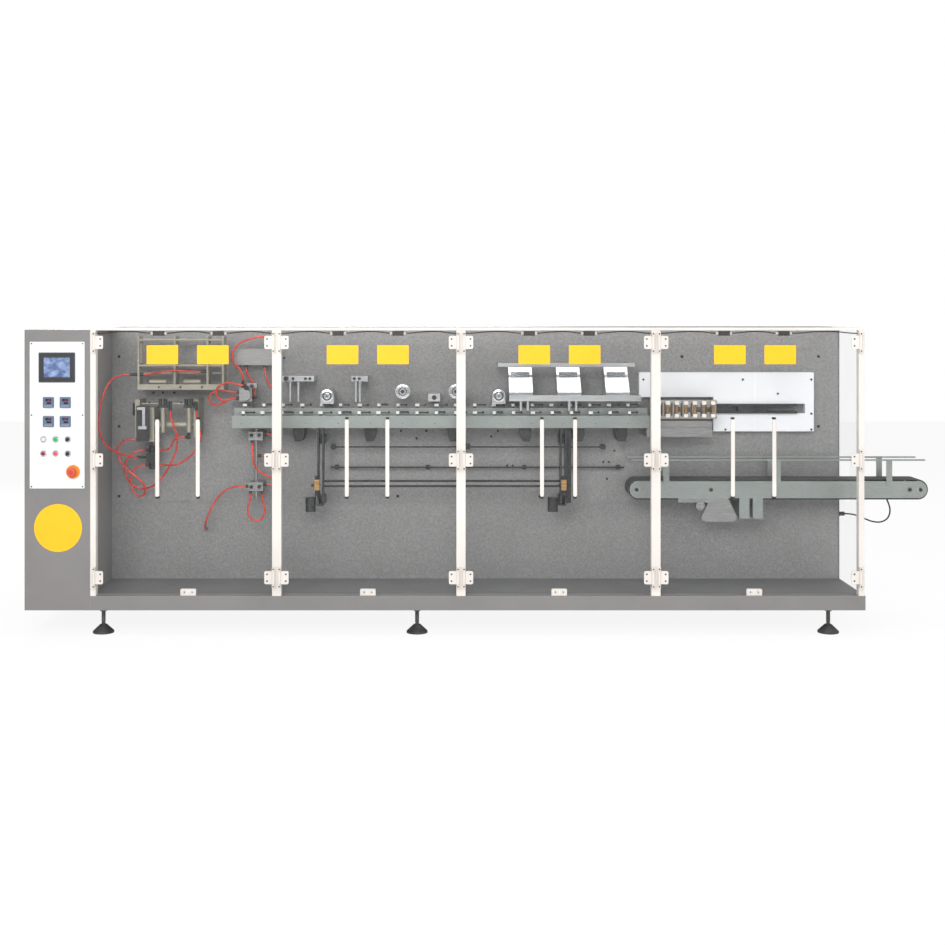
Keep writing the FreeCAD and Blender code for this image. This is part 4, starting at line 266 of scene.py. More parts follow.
lamp("front_lamp", (-1.5, -6.0, 3.6), (0, 0, 0.8), (5.0, 2.5), 285)
lamp("right_lamp", (4.6, -4.0, 2.6), (0.5, 0, 0.8), (2.5, 2.5), 75)
lamp("top_lamp", (0, -0.4, 4.5), (0, 0, 0), (6.0, 2.0), 85)
lamp("rear_lamp", (-1.5, 6.0, 3.2), (0, 0, 0.8), (5.0, 2.5), 230)

# %% [markdown]
# ## Air hoses and cables
# Red hoses feed the suction cups and cylinders. Each is a length of limp tube held only at its two
# fittings, so it is one smooth spline through a few points, with a round section given by the
# curve's bevel.

# %% Routes of the hoses and cables
HOSE_ROUTES = {
    "big_loop": [
        (-1.845, -0.112, 1.29), (-1.872, -0.112, 1.29), (-1.917, -0.134, 1.279), (-1.934, -0.178, 1.257),
        (-1.943, -0.22, 1.229), (-1.951, -0.257, 1.194), (-1.955, -0.287, 1.152), (-1.958, -0.307, 1.105),
        (-1.958, -0.313, 1.054), (-1.956, -0.306, 1.003), (-1.948, -0.283, 0.958), (-1.932, -0.246, 0.926),
        (-1.909, -0.206, 0.9), (-1.877, -0.168, 0.88), (-1.839, -0.136, 0.862), (-1.813, -0.101, 0.852),
        (-1.813, -0.076, 0.852),
    ],
    "upper_magazine": [
        (-1.775, -0.112, 1.29), (-1.748, -0.112, 1.29), (-1.699, -0.127, 1.3), (-1.652, -0.143, 1.309),
        (-1.6, -0.145, 1.31), (-1.552, -0.129, 1.308), (-1.503, -0.112, 1.304), (-1.476, -0.112, 1.304),
    ],
    "lower_loop": [
        (-1.812, -0.106, 0.95), (-1.839, -0.106, 0.95), (-1.887, -0.106, 0.942), (-1.916, -0.106, 0.902),
        (-1.91, -0.104, 0.853), (-1.883, -0.102, 0.812), (-1.848, -0.1, 0.776), (-1.807, -0.099, 0.747),
        (-1.77, -0.099, 0.711), (-1.768, -0.087, 0.661), (-1.814, -0.07, 0.644), (-1.848, -0.065, 0.682),
        (-1.854, -0.065, 0.733), (-1.845, -0.065, 0.784), (-1.802, -0.065, 0.812), (-1.775, -0.065, 0.812),
    ],
    "first_suction": [
        (-1.628, -0.152, 1.104), (-1.628, -0.152, 1.077), (-1.615, -0.145, 1.029), (-1.598, -0.129, 0.985),
        (-1.596, -0.117, 0.936), (-1.606, -0.106, 0.888), (-1.625, -0.097, 0.843), (-1.648, -0.088, 0.8),
        (-1.676, -0.077, 0.759), (-1.707, -0.066, 0.722), (-1.747, -0.055, 0.694), (-1.796, -0.048, 0.684),
        (-1.843, -0.047, 0.699), (-1.876, -0.052, 0.736), (-1.887, -0.061, 0.784), (-1.878, -0.069, 0.833),
        (-1.849, -0.069, 0.874), (-1.802, -0.065, 0.89), (-1.775, -0.065, 0.89),
    ],
    "second_suction": [
        (-1.493, -0.152, 1.104), (-1.493, -0.152, 1.077), (-1.481, -0.146, 1.027), (-1.472, -0.135, 0.978),
        (-1.482, -0.128, 0.928), (-1.508, -0.125, 0.884), (-1.545, -0.123, 0.849), (-1.588, -0.111, 0.824),
        (-1.63, -0.083, 0.811), (-1.678, -0.065, 0.812), (-1.705, -0.065, 0.812),
    ],
    "short_bridge": [
        (-1.705, -0.065, 0.89), (-1.682, -0.065, 0.89), (-1.643, -0.079, 0.899), (-1.627, -0.111, 0.923),
        (-1.613, -0.14, 0.952), (-1.574, -0.152, 0.966), (-1.551, -0.152, 0.966),
    ],
    "upper_arc": [
        (-1.1, -0.008, 1.487), (-1.1, -0.035, 1.487), (-1.118, -0.081, 1.488), (-1.16, -0.104, 1.487),
        (-1.208, -0.11, 1.481), (-1.254, -0.11, 1.465), (-1.293, -0.11, 1.438), (-1.316, -0.107, 1.397),
        (-1.311, -0.096, 1.352), (-1.279, -0.082, 1.321), (-1.261, -0.076, 1.283), (-1.261, -0.076, 1.256),
    ],
    "first_drop": [
        (-1.252, -0.036, 1.325), (-1.252, -0.036, 1.302), (-1.228, -0.05, 1.264), (-1.197, -0.064, 1.235),
        (-1.1987, -0.076, 1.201), (-1.1987, -0.076, 1.176),
    ],
    "second_drop": [
        (-1.151, -0.036, 1.325), (-1.151, -0.036, 1.302), (-1.142, -0.047, 1.262), (-1.12, -0.069, 1.234),
        (-1.099, -0.085, 1.203), (-1.09, -0.091, 1.163), (-1.09, -0.091, 1.14),
    ],
    "right_loop": [
        (-1.25, -0.118, 1.234), (-1.273, -0.118, 1.234), (-1.312, -0.132, 1.248), (-1.352, -0.152, 1.246),
        (-1.387, -0.16, 1.222), (-1.39, -0.15, 1.178), (-1.356, -0.131, 1.152), (-1.314, -0.118, 1.164),
        (-1.291, -0.118, 1.164),
    ],
    "flat_loop": [
        (-1.291, -0.082, 1.196), (-1.314, -0.082, 1.196), (-1.358, -0.086, 1.205), (-1.403, -0.095, 1.206),
        (-1.439, -0.094, 1.177), (-1.431, -0.086, 1.132), (-1.386, -0.078, 1.123), (-1.35, -0.08, 1.153),
        (-1.314, -0.082, 1.166), (-1.291, -0.082, 1.166),
    ],
    "elbow_loop": [
        (-1.136, -0.076, 0.975), (-1.113, -0.076, 0.975), (-1.074, -0.076, 0.954), (-1.071, -0.076, 0.91),
        (-1.098, -0.076, 0.875), (-1.14, -0.076, 0.862), (-1.163, -0.076, 0.862),
    ],
    "left_drop": [
        (-1.211, -0.082, 0.93), (-1.211, -0.082, 0.903), (-1.208, -0.094, 0.851), (-1.192, -0.126, 0.812),
        (-1.159, -0.153, 0.782), (-1.111, -0.167, 0.761), (-1.065, -0.147, 0.74), (-1.059, -0.097, 0.719),
        (-1.109, -0.076, 0.712), (-1.136, -0.076, 0.712),
    ],
    "hanging_loop": [
        (-1.221, -0.08, 0.664), (-1.221, -0.08, 0.641), (-1.232, -0.08, 0.6), (-1.237, -0.079, 0.557),
        (-1.213, -0.078, 0.521), (-1.169, -0.078, 0.521), (-1.144, -0.079, 0.557), (-1.15, -0.08, 0.6),
        (-1.161, -0.08, 0.641), (-1.161, -0.08, 0.664),
    ],
    "wall_hose": [
        (-1.246, -0.076, 0.702), (-1.273, -0.076, 0.702), (-1.324, -0.069, 0.696), (-1.367, -0.057, 0.672),
        (-1.402, -0.05, 0.636), (-1.429, -0.052, 0.592), (-1.449, -0.061, 0.545), (-1.463, -0.061, 0.495),
        (-1.47, -0.019, 0.466), (-1.47, 0.008, 0.466),
    ],
}

CABLE_ROUTE = [
        (1.938, 0.074, 0.537), (1.963, 0.074, 0.537), (2.002, 0.07, 0.53), (2.041, 0.058, 0.513),
        (2.08, 0.042, 0.498), (2.121, 0.026, 0.497), (2.153, 0.011, 0.52), (2.163, 0.002, 0.56),
        (2.153, -0.003, 0.6), (2.135, -0.003, 0.636), (2.135, -0.003, 0.662),
]

# The cable between a switch and its neighbour: share of the distance, and rise in metres.
LOOM_SHAPE = [(0, 0), (0.1, 0), (0.3, 0.0066), (0.52, 0.01), (0.73, 0.008), (0.91, 0), (1, 0)]

HOSE_RADIUS = 0.005
CABLE_RADIUS = 0.004
LOOM_RADIUS = 0.003

# %% Paint for hoses and cables


def hose_paint():
    paint = Paint("red_hose")
    patchy = paint.noise(14, 2)
    colour = paint.ramp(patchy, (0.35, tone(190, 38, 22)), (0.65, tone(224, 62, 34)))
    return paint.finish(colour, patchy * 0.12 + 0.2, coat_weight=0.4)


def cable_paint():
    paint = Paint("black_cable")
    dusty = paint.noise(60, 3)
    colour = paint.ramp(dusty, (0.4, grey(0.012)), (0.7, grey(0.03)))
    return paint.finish(colour, dusty * 0.2 + 0.4)


HOSE_PAINT = hose_paint()
CABLE_PAINT = cable_paint()

# %% Lay the cords


def spline_length(points):
    """Length of the curve that the points control, measured on a copy with no section."""
    copy = route_curve("measured_route", points, 0)
    line = bpy.data.meshes.new_from_object(copy.evaluated_get(bpy.context.evaluated_depsgraph_get()))
    places = [vertex.co for vertex in line.vertices]
    total = sum((second - first).length for first, second in zip(places, places[1:]))
    bpy.data.meshes.remove(line)
    bpy.data.objects.remove(copy)
    return total


def route_curve(name, points, radius):
    curve = bpy.data.curves.new(name, "CURVE")
    curve.dimensions = "3D"
    curve.resolution_u = 8
    curve.bevel_depth = radius
    curve.bevel_resolution = 3
    curve.use_fill_caps = True
    spline = curve.splines.new("NURBS")
    spline.points.add(len(points) - 1)
    for control, place in zip(spline.points, points):
        control.co = (*place, 1)
    spline.order_u = 3
    spline.use_endpoint_u = True
    piece = bpy.data.objects.new(name, curve)
    bpy.context.scene.collection.objects.link(piece)
    bpy.context.view_layer.update()
    return piece


def lay_cord(name, points, radius, node, paint):
    piece = route_curve(name, points, radius)
    piece.data.materials.append(paint)
    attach(piece, "machine")
    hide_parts(node)
    length = spline_length(points)
    return length


total = 0
for name, points in HOSE_ROUTES.items():
    total += lay_cord(f"hose_{name}", points, HOSE_RADIUS, "air_hoses", HOSE_PAINT)
lay_cord("motor_cable_run", CABLE_ROUTE, CABLE_RADIUS, "motor_cable", CABLE_PAINT)
print("hoses", round(total, 2), "m")

# %% [markdown]
# The safety switches over the doors are wired in a row. Each short cable bows up a little between
# one switch and the next, so its points come from the posts and switches that it joins.

# %% Switch cables


def solids_of(node):
    """The boxes of a node's separate solids, from left to right."""
    mesh = bmesh.new()
    mesh.from_mesh(NODES[node].data)
    bmesh.ops.remove_doubles(mesh, verts=mesh.verts, dist=1e-6)
    left, boxes = set(mesh.verts), []
    while left:
        found, queue = set(), [left.pop()]
        while queue:
            vertex = queue.pop()
            found.add(vertex)
            for edge in vertex.link_edges:
                other = edge.other_vert(vertex)
                if other in left:
                    left.discard(other)
                    queue.append(other)
        places = [vertex.co for vertex in found]
        low = Vector([min(place[axis] for place in places) for axis in range(3)])
        high = Vector([max(place[axis] for place in places) for axis in range(3)])
        boxes.append((low, high))
    mesh.free()
    return sorted(boxes, key=lambda box: box[0].x)


POSTS = solids_of("guard_posts")
SWITCHES = solids_of("door_switches")
print(len(POSTS), "posts", len(SWITCHES), "switches")

stops = sorted([(low.x, high.x) for low, high in POSTS + SWITCHES])
loom_line = (SWITCHES[0][0] + SWITCHES[0][1]) / 2
for number, (first, second) in enumerate(zip(stops, stops[1:])):
    start, end = first[1], second[0]
    points = [(start + (end - start) * share, loom_line.y, loom_line.z + rise) for share, rise in LOOM_SHAPE]
    lay_cord(f"switch_cable_{number + 1}", points, LOOM_RADIUS, "switch_cables", CABLE_PAINT)

# %% [markdown]
# ## Finishes
# Every finish is a small recipe on Object coordinates: a colour that drifts a little, a roughness
# that follows it, and a shallow relief at the scale of the real grain.

# %% Painted sheet metal


def enamel_paint(name, colour, worn, drift=0.05, speckle=900):
    """Sprayed enamel: orange-peel relief, a slow drift of tone and paler rubbed edges."""
    paint = Paint(name)
    slow = paint.noise(3, 3)
    fine = paint.noise(speckle, 2)
    low = tuple(part * (1 - drift) for part in colour)
    high = tuple(part * (1 + drift) for part in colour)
    body = paint.ramp(slow, (0.35, low), (0.65, high))
    edge = paint.edge_wear_and_highlight(0.002) * paint.noise(40, 4)
    paint.relief(fine, 0.12, 0.0004)
    return paint.finish(paint.blend(edge, body, worn), slow * 0.1 + 0.38, coat_weight=0.1)


def spangled_paint():
    """Wall sheet of the chamber: grey with the flaky pattern of coated steel."""
    paint = Paint("spangled_sheet")
    flakes = paint.cells(95, (1, 1, 1))
    cloud = paint.noise(5, 4)
    grain = paint.noise(260, 3)
    body = paint.ramp(flakes * 0.35 + grain * 0.65, (0.3, tone(118, 117, 117)), (0.62, tone(150, 149, 148)))
    shaded = paint.blend(cloud * 0.35, body, tone(112, 112, 112))
    paint.relief(grain, 0.25, 0.0006)
    return paint.finish(shaded, cloud * 0.15 + 0.4, 0.15)


def brushed_paint(name, dark, bright, along=(1, 60, 60), roughness=0.3, metallic=0.85):
    """Metal brushed along one direction, with a painted highlight: its corners are lighter than its faces."""
    paint = Paint(name)
    lines = paint.noise(18, 5, along)
    smear = paint.noise(7, 3)
    body = paint.ramp(lines, (0.3, dark), (0.7, bright))
    # Corners blended towards a lighter tone: a painted highlight.
    body = paint.blend(paint.edge_wear_and_highlight(0.0015) * 0.5, body, tuple(min(1, part * 1.3) for part in bright))
    paint.relief(lines, 0.08, 0.0003)
    return paint.finish(body, smear * 0.18 + roughness, metallic)


def blackened_paint(name="blackened_steel", level=0.022):
    paint = Paint(name)
    cloud = paint.noise(22, 4)
    body = paint.ramp(cloud, (0.35, grey(level)), (0.7, grey(level * 2)))
    # Edges blended towards a pale grey: a painted highlight on the dark steel.
    body = paint.blend(paint.edge_wear_and_highlight(0.001) * 0.4, body, grey(0.2))
    return paint.finish(body, cloud * 0.2 + 0.32, 0.4)


def clear_paint(name="clear_sheet", alpha=0.035):
    """Clear acrylic: almost nothing of itself but its gloss and cloudy wipe marks."""
    paint = Paint(name)
    wiped = paint.noise(6, 4, (1, 1, 0.4))
    return paint.finish(tone(150, 154, 156), wiped * 0.08 + 0.06, alpha=wiped * 0.03 + (alpha - 0.015))


def plastic_paint(name, colour, roughness=0.35, grain=700):
    paint = Paint(name)
    fine = paint.noise(grain, 2)
    smear = paint.noise(25, 3)
    body = paint.ramp(smear, (0.3, tuple(part * 0.93 for part in colour)), (0.7, colour))
    paint.relief(fine, 0.1, 0.0002)
    return paint.finish(body, smear * 0.12 + roughness)


def rubber_paint():
    paint = Paint("belt_rubber_top")
    weave = paint.cells(900)
    dusty = paint.noise(9, 4, (1, 3, 1))
    body = paint.ramp(dusty, (0.3, grey(0.028)), (0.75, grey(0.06)))
    paint.relief(weave, 0.3, 0.0004)
    return paint.finish(body, dusty * 0.2 + 0.55)


GREY_ENAMEL = enamel_paint("grey_enamel", tone(124, 122, 121), tone(160, 158, 156))
WALL_SHEET = spangled_paint()
OFF_WHITE = enamel_paint("off_white_enamel", tone(220, 214, 208), tone(168, 158, 148), 0.06)
PALE_PLATE = brushed_paint("pale_plate", tone(222, 226, 230), tone(238, 241, 244), (60, 1, 1), 0.34, 0.1)
COVER_WHITE = enamel_paint("cover_enamel", tone(232, 234, 237), tone(205, 206, 208), 0.03)
SATIN_STEEL = brushed_paint("satin_steel", tone(124, 124, 123), tone(170, 170, 169))
RAIL_STEEL = brushed_paint("rail_steel", tone(138, 144, 141), tone(168, 174, 170), (2, 160, 160), 0.26)
TRAY_STEEL = brushed_paint("tray_steel", tone(116, 116, 117), tone(140, 140, 141), (0.4, 20, 20), 0.42, 0.5)
OLIVE_PLATE = brushed_paint("anodised_plate", tone(140, 137, 124), tone(172, 168, 152), (1, 30, 30), 0.4, 0.5)
BRIGHT_STEEL = brushed_paint("bright_steel", tone(176, 178, 180), tone(232, 234, 236), (1, 12, 12), 0.1, 1.0)
ALUMINIUM = brushed_paint("aluminium", tone(158, 160, 162), tone(200, 202, 203), (0.5, 30, 30), 0.28, 0.9)
JAW_STEEL = brushed_paint("jaw_steel", tone(52, 52, 52), tone(120, 120, 118), (1, 20, 20), 0.28, 0.9)
BLACK_STEEL = blackened_paint()
BLACK_PLASTIC = plastic_paint("black_plastic_grain", grey(0.016), 0.36)
CLEAR = clear_paint()
BELT = rubber_paint()

# %% Hand the finishes to the nodes


def dress(paint, *nodes):
    for node in nodes:
        for place in NODES[node].material_slots:
            place.material = paint


dress(GREY_ENAMEL, "control_cabinet", "base_frame")
dress(WALL_SHEET, "rear_housing", "mounting_plate")
dress(TRAY_STEEL, "drip_tray")
dress(OFF_WHITE, "guard_posts", "top_rails", "hinge_brackets", "door_catches")
dress(OFF_WHITE, *[f"{door}_fittings" for door in DOORS])
dress(CLEAR, "roof_panel", "end_guard", *[f"{door}_panel" for door in DOORS])
dress(PALE_PLATE, "control_panel")
dress(COVER_WHITE, "cooling_cover")
dress(SATIN_STEEL, "opening_station", "station_units", "pickup_unit", "lower_chute", "conveyor_drive")
dress(OLIVE_PLATE, "pouch_magazine")
dress(RAIL_STEEL, "transfer_beam", "guide_rails", "side_rails", "conveyor_frame")
dress(ALUMINIUM, "sealer_carrier")
dress(BRIGHT_STEEL, "sealing_units", "conveyor_drums")
dress(JAW_STEEL, "pouch_clamps")
dress(BLACK_STEEL, "bearing_brackets", "lift_slides", "discharge_actuator")
dress(BLACK_PLASTIC, "door_switches", "cable_fittings", "air_fittings", "air_regulator")
dress(BELT, "conveyor_belt")
dress(brushed_paint("clamp_brass", tone(150, 146, 140), tone(196, 190, 182), (20, 1, 1), 0.25), "cooling_clamps")
dress(blackened_paint("foot_steel_dark", 0.05), "levelling_feet")
dress(plastic_paint("bezel_plastic", grey(0.03), 0.3), "touch_screen")
dress(plastic_paint("controller_blue", tone(92, 106, 126), 0.42), "temperature_controllers")
dress(brushed_paint("button_ring", tone(150, 150, 150), tone(205, 205, 205), (1, 1, 1), 0.25), "push_buttons")
dress(plastic_paint("stop_collar_yellow", tone(232, 138, 30), 0.35), "emergency_stop")

# %% [markdown]
# ## Small pieces
# Pieces are collected in one mesh per body and finish. `Shapes` holds such a mesh and adds slabs,
# rods and turned profiles to it; `piece` closes it, rounds its edges and sets it on its body.

# %% Shape builder
FACING = {
    "x": Matrix.Rotation(math.radians(90), 3, "Y"),
    "y": Matrix.Rotation(math.radians(90), 3, "X"),
    "z": Matrix.Identity(3),
}


class Shapes:
    """Solid shapes gathered in one mesh, in metres."""

    def __init__(self):
        self.mesh = bmesh.new()

    def slab(self, x, y, z):
        corners = [self.mesh.verts.new((a, b, c)) for c in z for b in y for a in x]
        for face in ((0, 2, 3, 1), (4, 5, 7, 6), (0, 1, 5, 4), (2, 6, 7, 3), (0, 4, 6, 2), (1, 3, 7, 5)):
            self.mesh.faces.new([corners[corner] for corner in face])

    def turned(self, axis, centre, profile, sides=24):
        """A closed profile of (radius, distance along the axis) turned round the axis."""
        turn = FACING[axis]
        sign = -1 if axis == "y" else 1
        rings = []
        for radius, along in profile:
            ring = []
            for step in range(sides):
                angle = 2 * math.pi * step / sides
                local = Vector((radius * math.cos(angle), radius * math.sin(angle), sign * along))
                ring.append(self.mesh.verts.new(turn @ local + Vector(centre)))
            rings.append(ring)
        for first, second in zip(rings, rings[1:]):
            for step in range(sides):
                follow = (step + 1) % sides
                self.mesh.faces.new([first[step], first[follow], second[follow], second[step]])
        self.mesh.faces.new(reversed(rings[0]))
        self.mesh.faces.new(rings[-1])

    def rod(self, axis, centre, radius, length, sides=20):
        chamfer = min(radius, length) * 0.12
        inner = radius - chamfer
        self.turned(axis, centre, [(inner, 0), (radius, chamfer), (radius, length - chamfer), (inner, length)], sides)


def piece(name, shapes, paint, slot, body="machine", bevel=0.0, smooth=True):
    """Closes the gathered shapes into one object that rides on a body."""
    bmesh.ops.recalc_face_normals(shapes.mesh, faces=shapes.mesh.faces)
    mesh = bpy.data.meshes.new(name)
    shapes.mesh.to_mesh(mesh)
    shapes.mesh.free()
    mesh.materials.append(paint)
    made = bpy.data.objects.new(name, mesh)
    bpy.context.scene.collection.objects.link(made)
    if bevel:
        rounding = made.modifiers.new("rounded_edges", "BEVEL")
        rounding.width = bevel
        rounding.segments = 3
        rounding.limit_method = "ANGLE"
    if smooth:
        mesh.shade_smooth()
        mesh.set_sharp_from_angle(angle=math.radians(35))
    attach(made, body)
    return made


def box_of(node):
    low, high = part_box(node)
    return low, high


# %% [markdown]
# ### Bare plates
# Each door carries a bare yellow plate near its top, and the cabinet a bare yellow disc. They are
# stuck on, so they are thin, with softly rounded corners.

# %% Plates on the doors and the disc
PLATE_WIDTH = 0.158
PLATE_LOW, PLATE_HIGH = 1.354, 1.449
PLATE_THICKNESS = 0.0015
PLATE_CENTRES = {}
DISC_RADIUS = 0.120


def yellow_paint(name, colour):
    paint = Paint(name)
    cloud = paint.noise(11, 3)
    body = paint.ramp(cloud, (0.3, tuple(part * 0.94 for part in colour)), (0.7, colour))
    return paint.finish(body, cloud * 0.1 + 0.42)


YELLOW = yellow_paint("yellow_plate", tone(246, 188, 4))


def rounded_outline(x, z, radius, steps=6):
    """Corner arcs of an upright plate, going round once."""
    outline = []
    turns = ((x[1] - radius, z[1] - radius, 0), (x[0] + radius, z[1] - radius, 90),
             (x[0] + radius, z[0] + radius, 180), (x[1] - radius, z[0] + radius, 270))
    for centre_x, centre_z, start in turns:
        for step in range(steps + 1):
            angle = math.radians(start + 90 * step / steps)
            outline.append((centre_x + radius * math.cos(angle), centre_z + radius * math.sin(angle)))
    return outline


def add_plate(shapes, x, z, front, back, radius):
    """An upright plate with round corners and a finely broken front edge."""
    rim = (back - front) * 0.35
    rings = []
    for inset, depth in ((rim, front), (0, front + rim), (0, back)):
        spans = ((x[0] + inset, x[1] - inset), (z[0] + inset, z[1] - inset))
        outline = rounded_outline(*spans, radius)
        rings.append([shapes.mesh.verts.new((a, depth, c)) for a, c in outline])
    for first, second in zip(rings, rings[1:]):
        count = len(first)
        for step in range(count):
            follow = (step + 1) % count
            shapes.mesh.faces.new([first[step], first[follow], second[follow], second[step]])
    shapes.mesh.faces.new(rings[0])
    shapes.mesh.faces.new(reversed(rings[-1]))


SPLITS = {}
for bay in (1, 2, 3, 4):
    SPLITS[bay] = (box_of(f"door_{bay}_left_panel")[1].x + box_of(f"door_{bay}_right_panel")[0].x) / 2
DOOR_FACE = box_of("door_1_left_panel")[0].y
PLATE_FROM_SPLIT = 0.126

for door in DOORS:
    bay, side = int(door[5]), door[7:]
    centre = SPLITS[bay] + (PLATE_FROM_SPLIT if side == "right" else -PLATE_FROM_SPLIT)
    plate = Shapes()
    span = (centre - PLATE_WIDTH / 2, centre + PLATE_WIDTH / 2)
    add_plate(plate, span, (PLATE_LOW, PLATE_HIGH), DOOR_FACE - PLATE_THICKNESS, DOOR_FACE - 0.0001, 0.004)
    piece(f"{door}_plate", plate, YELLOW, "fitting_steel", door)

cabinet_low, cabinet_high = box_of("control_cabinet")
disc = Shapes()
disc_place = (cabinet_low.x + 0.169, cabinet_low.y - PLATE_THICKNESS, 0.535)
disc_profile = [(DISC_RADIUS - 0.0006, 0), (DISC_RADIUS, 0.0005), (DISC_RADIUS, 0.0014)]
disc.turned("y", disc_place, disc_profile, 96)
piece("cabinet_disc", disc, YELLOW, "white_plate")

# %% [markdown]
# ### Control panel
# The panel is a pale plate held by six screws. On it sit a touch screen in a dark bezel, four
# controllers with two dark read-outs each, six round buttons and the emergency stop.

# %% Touch screen
screen_low, screen_high = box_of("touch_screen")
SCREEN_BORDER = 0.024


def display_paint(name, dark, pale, glow):
    """A lit display under glass: blotchy reflections over a faint glow."""
    paint = Paint(name)
    cloud = paint.noise(28, 5, (1, 1, 1.4))
    body = paint.ramp(cloud, (0.35, dark), (0.72, pale))
    return paint.finish(body, 0.12, emission_color=body, emission_strength=glow)


glass = Shapes()
glass_x = (screen_low.x + SCREEN_BORDER + 0.001, screen_high.x - SCREEN_BORDER - 0.001)
glass_z = (screen_low.z + SCREEN_BORDER + 0.001, screen_high.z - SCREEN_BORDER - 0.001)
add_plate(glass, glass_x, glass_z, screen_low.y + 0.0012, screen_low.y + 0.003, 0.003)
piece("screen_glass", glass, display_paint("screen_blue", tone(78, 96, 138), tone(150, 168, 200), 0.15), "dark_glass")

rim = Shapes()
for x, z in (
    ((screen_low.x, screen_low.x + 0.005), (screen_low.z, screen_high.z)),
    ((screen_high.x - 0.005, screen_high.x), (screen_low.z, screen_high.z)),
    ((screen_low.x + 0.005, screen_high.x - 0.005), (screen_high.z - 0.005, screen_high.z)),
    ((screen_low.x + 0.005, screen_high.x - 0.005), (screen_low.z, screen_low.z + 0.005)),
):
    rim.slab(x, (screen_low.y - 0.001, screen_low.y + 0.002), z)
piece("screen_rim", rim, plastic_paint("screen_rim_grey", tone(64, 70, 82), 0.25), "dark_glass", bevel=0.0008)

# %% Controllers
WINDOW_PAINT = display_paint("read_out_window", tone(20, 16, 34), tone(44, 34, 70), 0.05)
DIGIT_RED = plastic_paint("digit_red", tone(190, 90, 120), 0.4)
KEY_PAINT = plastic_paint("controller_keys", tone(140, 152, 168), 0.5)
windows, keys, digits = Shapes(), Shapes(), Shapes()
SEGMENTS = {"0": "abcdef", "1": "bc", "2": "abged", "5": "afgcd", "8": "abcdefg"}


def add_digit(shapes, left, bottom, width, front, lit):
    """One seven-segment digit, twice as high as wide."""
    thick = width * 0.22
    half = width
    places = {
        "a": ((0, width), (2 * half - thick, 2 * half)), "g": ((0, width), (half - thick / 2, half + thick / 2)),
        "d": ((0, width), (0, thick)), "f": ((0, thick), (half, 2 * half)), "e": ((0, thick), (0, half)),
        "b": ((width - thick, width), (half, 2 * half)), "c": ((width - thick, width), (0, half)),
    }
    for segment in SEGMENTS[lit]:
        x, z = places[segment]
        shapes.slab((left + x[0], left + x[1]), (front - 0.0003, front), (bottom + z[0], bottom + z[1]))


for low, high in solids_of("temperature_controllers"):
    side, front = high.x - low.x, low.y
    top_z = (low.z + side * 0.60, low.z + side * 0.84)
    low_z = (low.z + side * 0.36, low.z + side * 0.52)
    add_plate(windows, (low.x + side * 0.24, low.x + side * 0.78), top_z, front - 0.0006, front - 0.0001, 0.001)
    add_plate(windows, (low.x + side * 0.36, low.x + side * 0.78), low_z, front - 0.0006, front - 0.0001, 0.001)
    for number, lit in enumerate("180"):
        add_digit(digits, low.x + side * (0.34 + 0.14 * number), low.z + side * 0.65, side * 0.07, front - 0.0006, lit)
    for number in range(4):
        left = low.x + side * (0.16 + 0.185 * number)
        key_z = (low.z + side * 0.10, low.z + side * 0.24)
        add_plate(keys, (left, left + side * 0.13), key_z, front - 0.0012, front - 0.0001, 0.0012)
piece("controller_windows", windows, WINDOW_PAINT, "controller_plastic")
piece("controller_keys", keys, KEY_PAINT, "controller_plastic")
piece("controller_digits", digits, DIGIT_RED, "controller_plastic")

# %% Buttons and emergency stop
# Two rows of three: pale, green and a black knob; dark red, light red and a black knob.
CAP_TONES = [
    ("pale", tone(214, 214, 214)), ("green", tone(0, 176, 96)), ("knob_high", tone(34, 38, 44)),
    ("dark_red", tone(150, 14, 32)), ("light_red", tone(214, 84, 84)), ("knob_low", tone(40, 46, 52)),
]
CAP_RADIUS = 0.0117
buttons = sorted(solids_of("push_buttons"), key=lambda box: (-round(box[0].z, 2), box[0].x))
for (name, colour), (low, high) in zip(CAP_TONES, buttons):
    cap = Shapes()
    middle = ((low.x + high.x) / 2, low.y - 0.001, (low.z + high.z) / 2)
    dome = [(0.3, 0), (0.62, 0.03), (0.86, 0.11), (0.97, 0.24), (1.0, 0.42)]
    cap.turned("y", middle, [(CAP_RADIUS * r, CAP_RADIUS * a) for r, a in dome], 40)
    if "knob" in name:
        grip = 0.0032
        cap.slab((middle[0] - grip, middle[0] + grip), (middle[1] - 0.009, middle[1] + 0.001),
                 (middle[2] - CAP_RADIUS * 0.95, middle[2] + CAP_RADIUS * 0.95))
        lean = Matrix.Rotation(math.radians(35), 3, "Y")
        bmesh.ops.rotate(cap.mesh, cent=middle, matrix=lean, verts=cap.mesh.verts)
    piece(f"button_cap_{name}", cap, plastic_paint(f"button_{name}", colour, 0.22), "button_plastic", bevel=0.0004)
    ring = Shapes()
    ring.turned("y", (middle[0], middle[1] + 0.0025, middle[2]), [(0.0132, 0), (0.0148, 0.0012), (0.0152, 0.003), (0.0118, 0.003)], 40)
    piece(f"button_ring_{name}", ring, BRIGHT_STEEL, "button_plastic")

stop_low, stop_high = box_of("emergency_stop")
stop_x, stop_z = (stop_low.x + stop_high.x) / 2, (stop_low.z + stop_high.z) / 2
head = Shapes()
STOP_RADIUS = 0.0225
mushroom = [(0.35, -0.02), (0.6, 0.0), (0.82, 0.06), (0.95, 0.18), (1.0, 0.4), (0.98, 0.72), (0.9, 0.86), (0.5, 0.9)]
head.turned("y", (stop_x, stop_low.y - 0.0005, stop_z), [(STOP_RADIUS * r, STOP_RADIUS * a) for r, a in mushroom], 48)
piece("stop_head", head, plastic_paint("stop_red", tone(196, 62, 58), 0.3), "stop_plastic")

# %% [markdown]
# ### Screws
# Socket-head screws hold the plate, hinges and brackets. Each screw is the same, so a Geometry
# Nodes tree puts one on every point of a small cloud: a turned head, with a dark hexagon in it.

# %% Screw tree


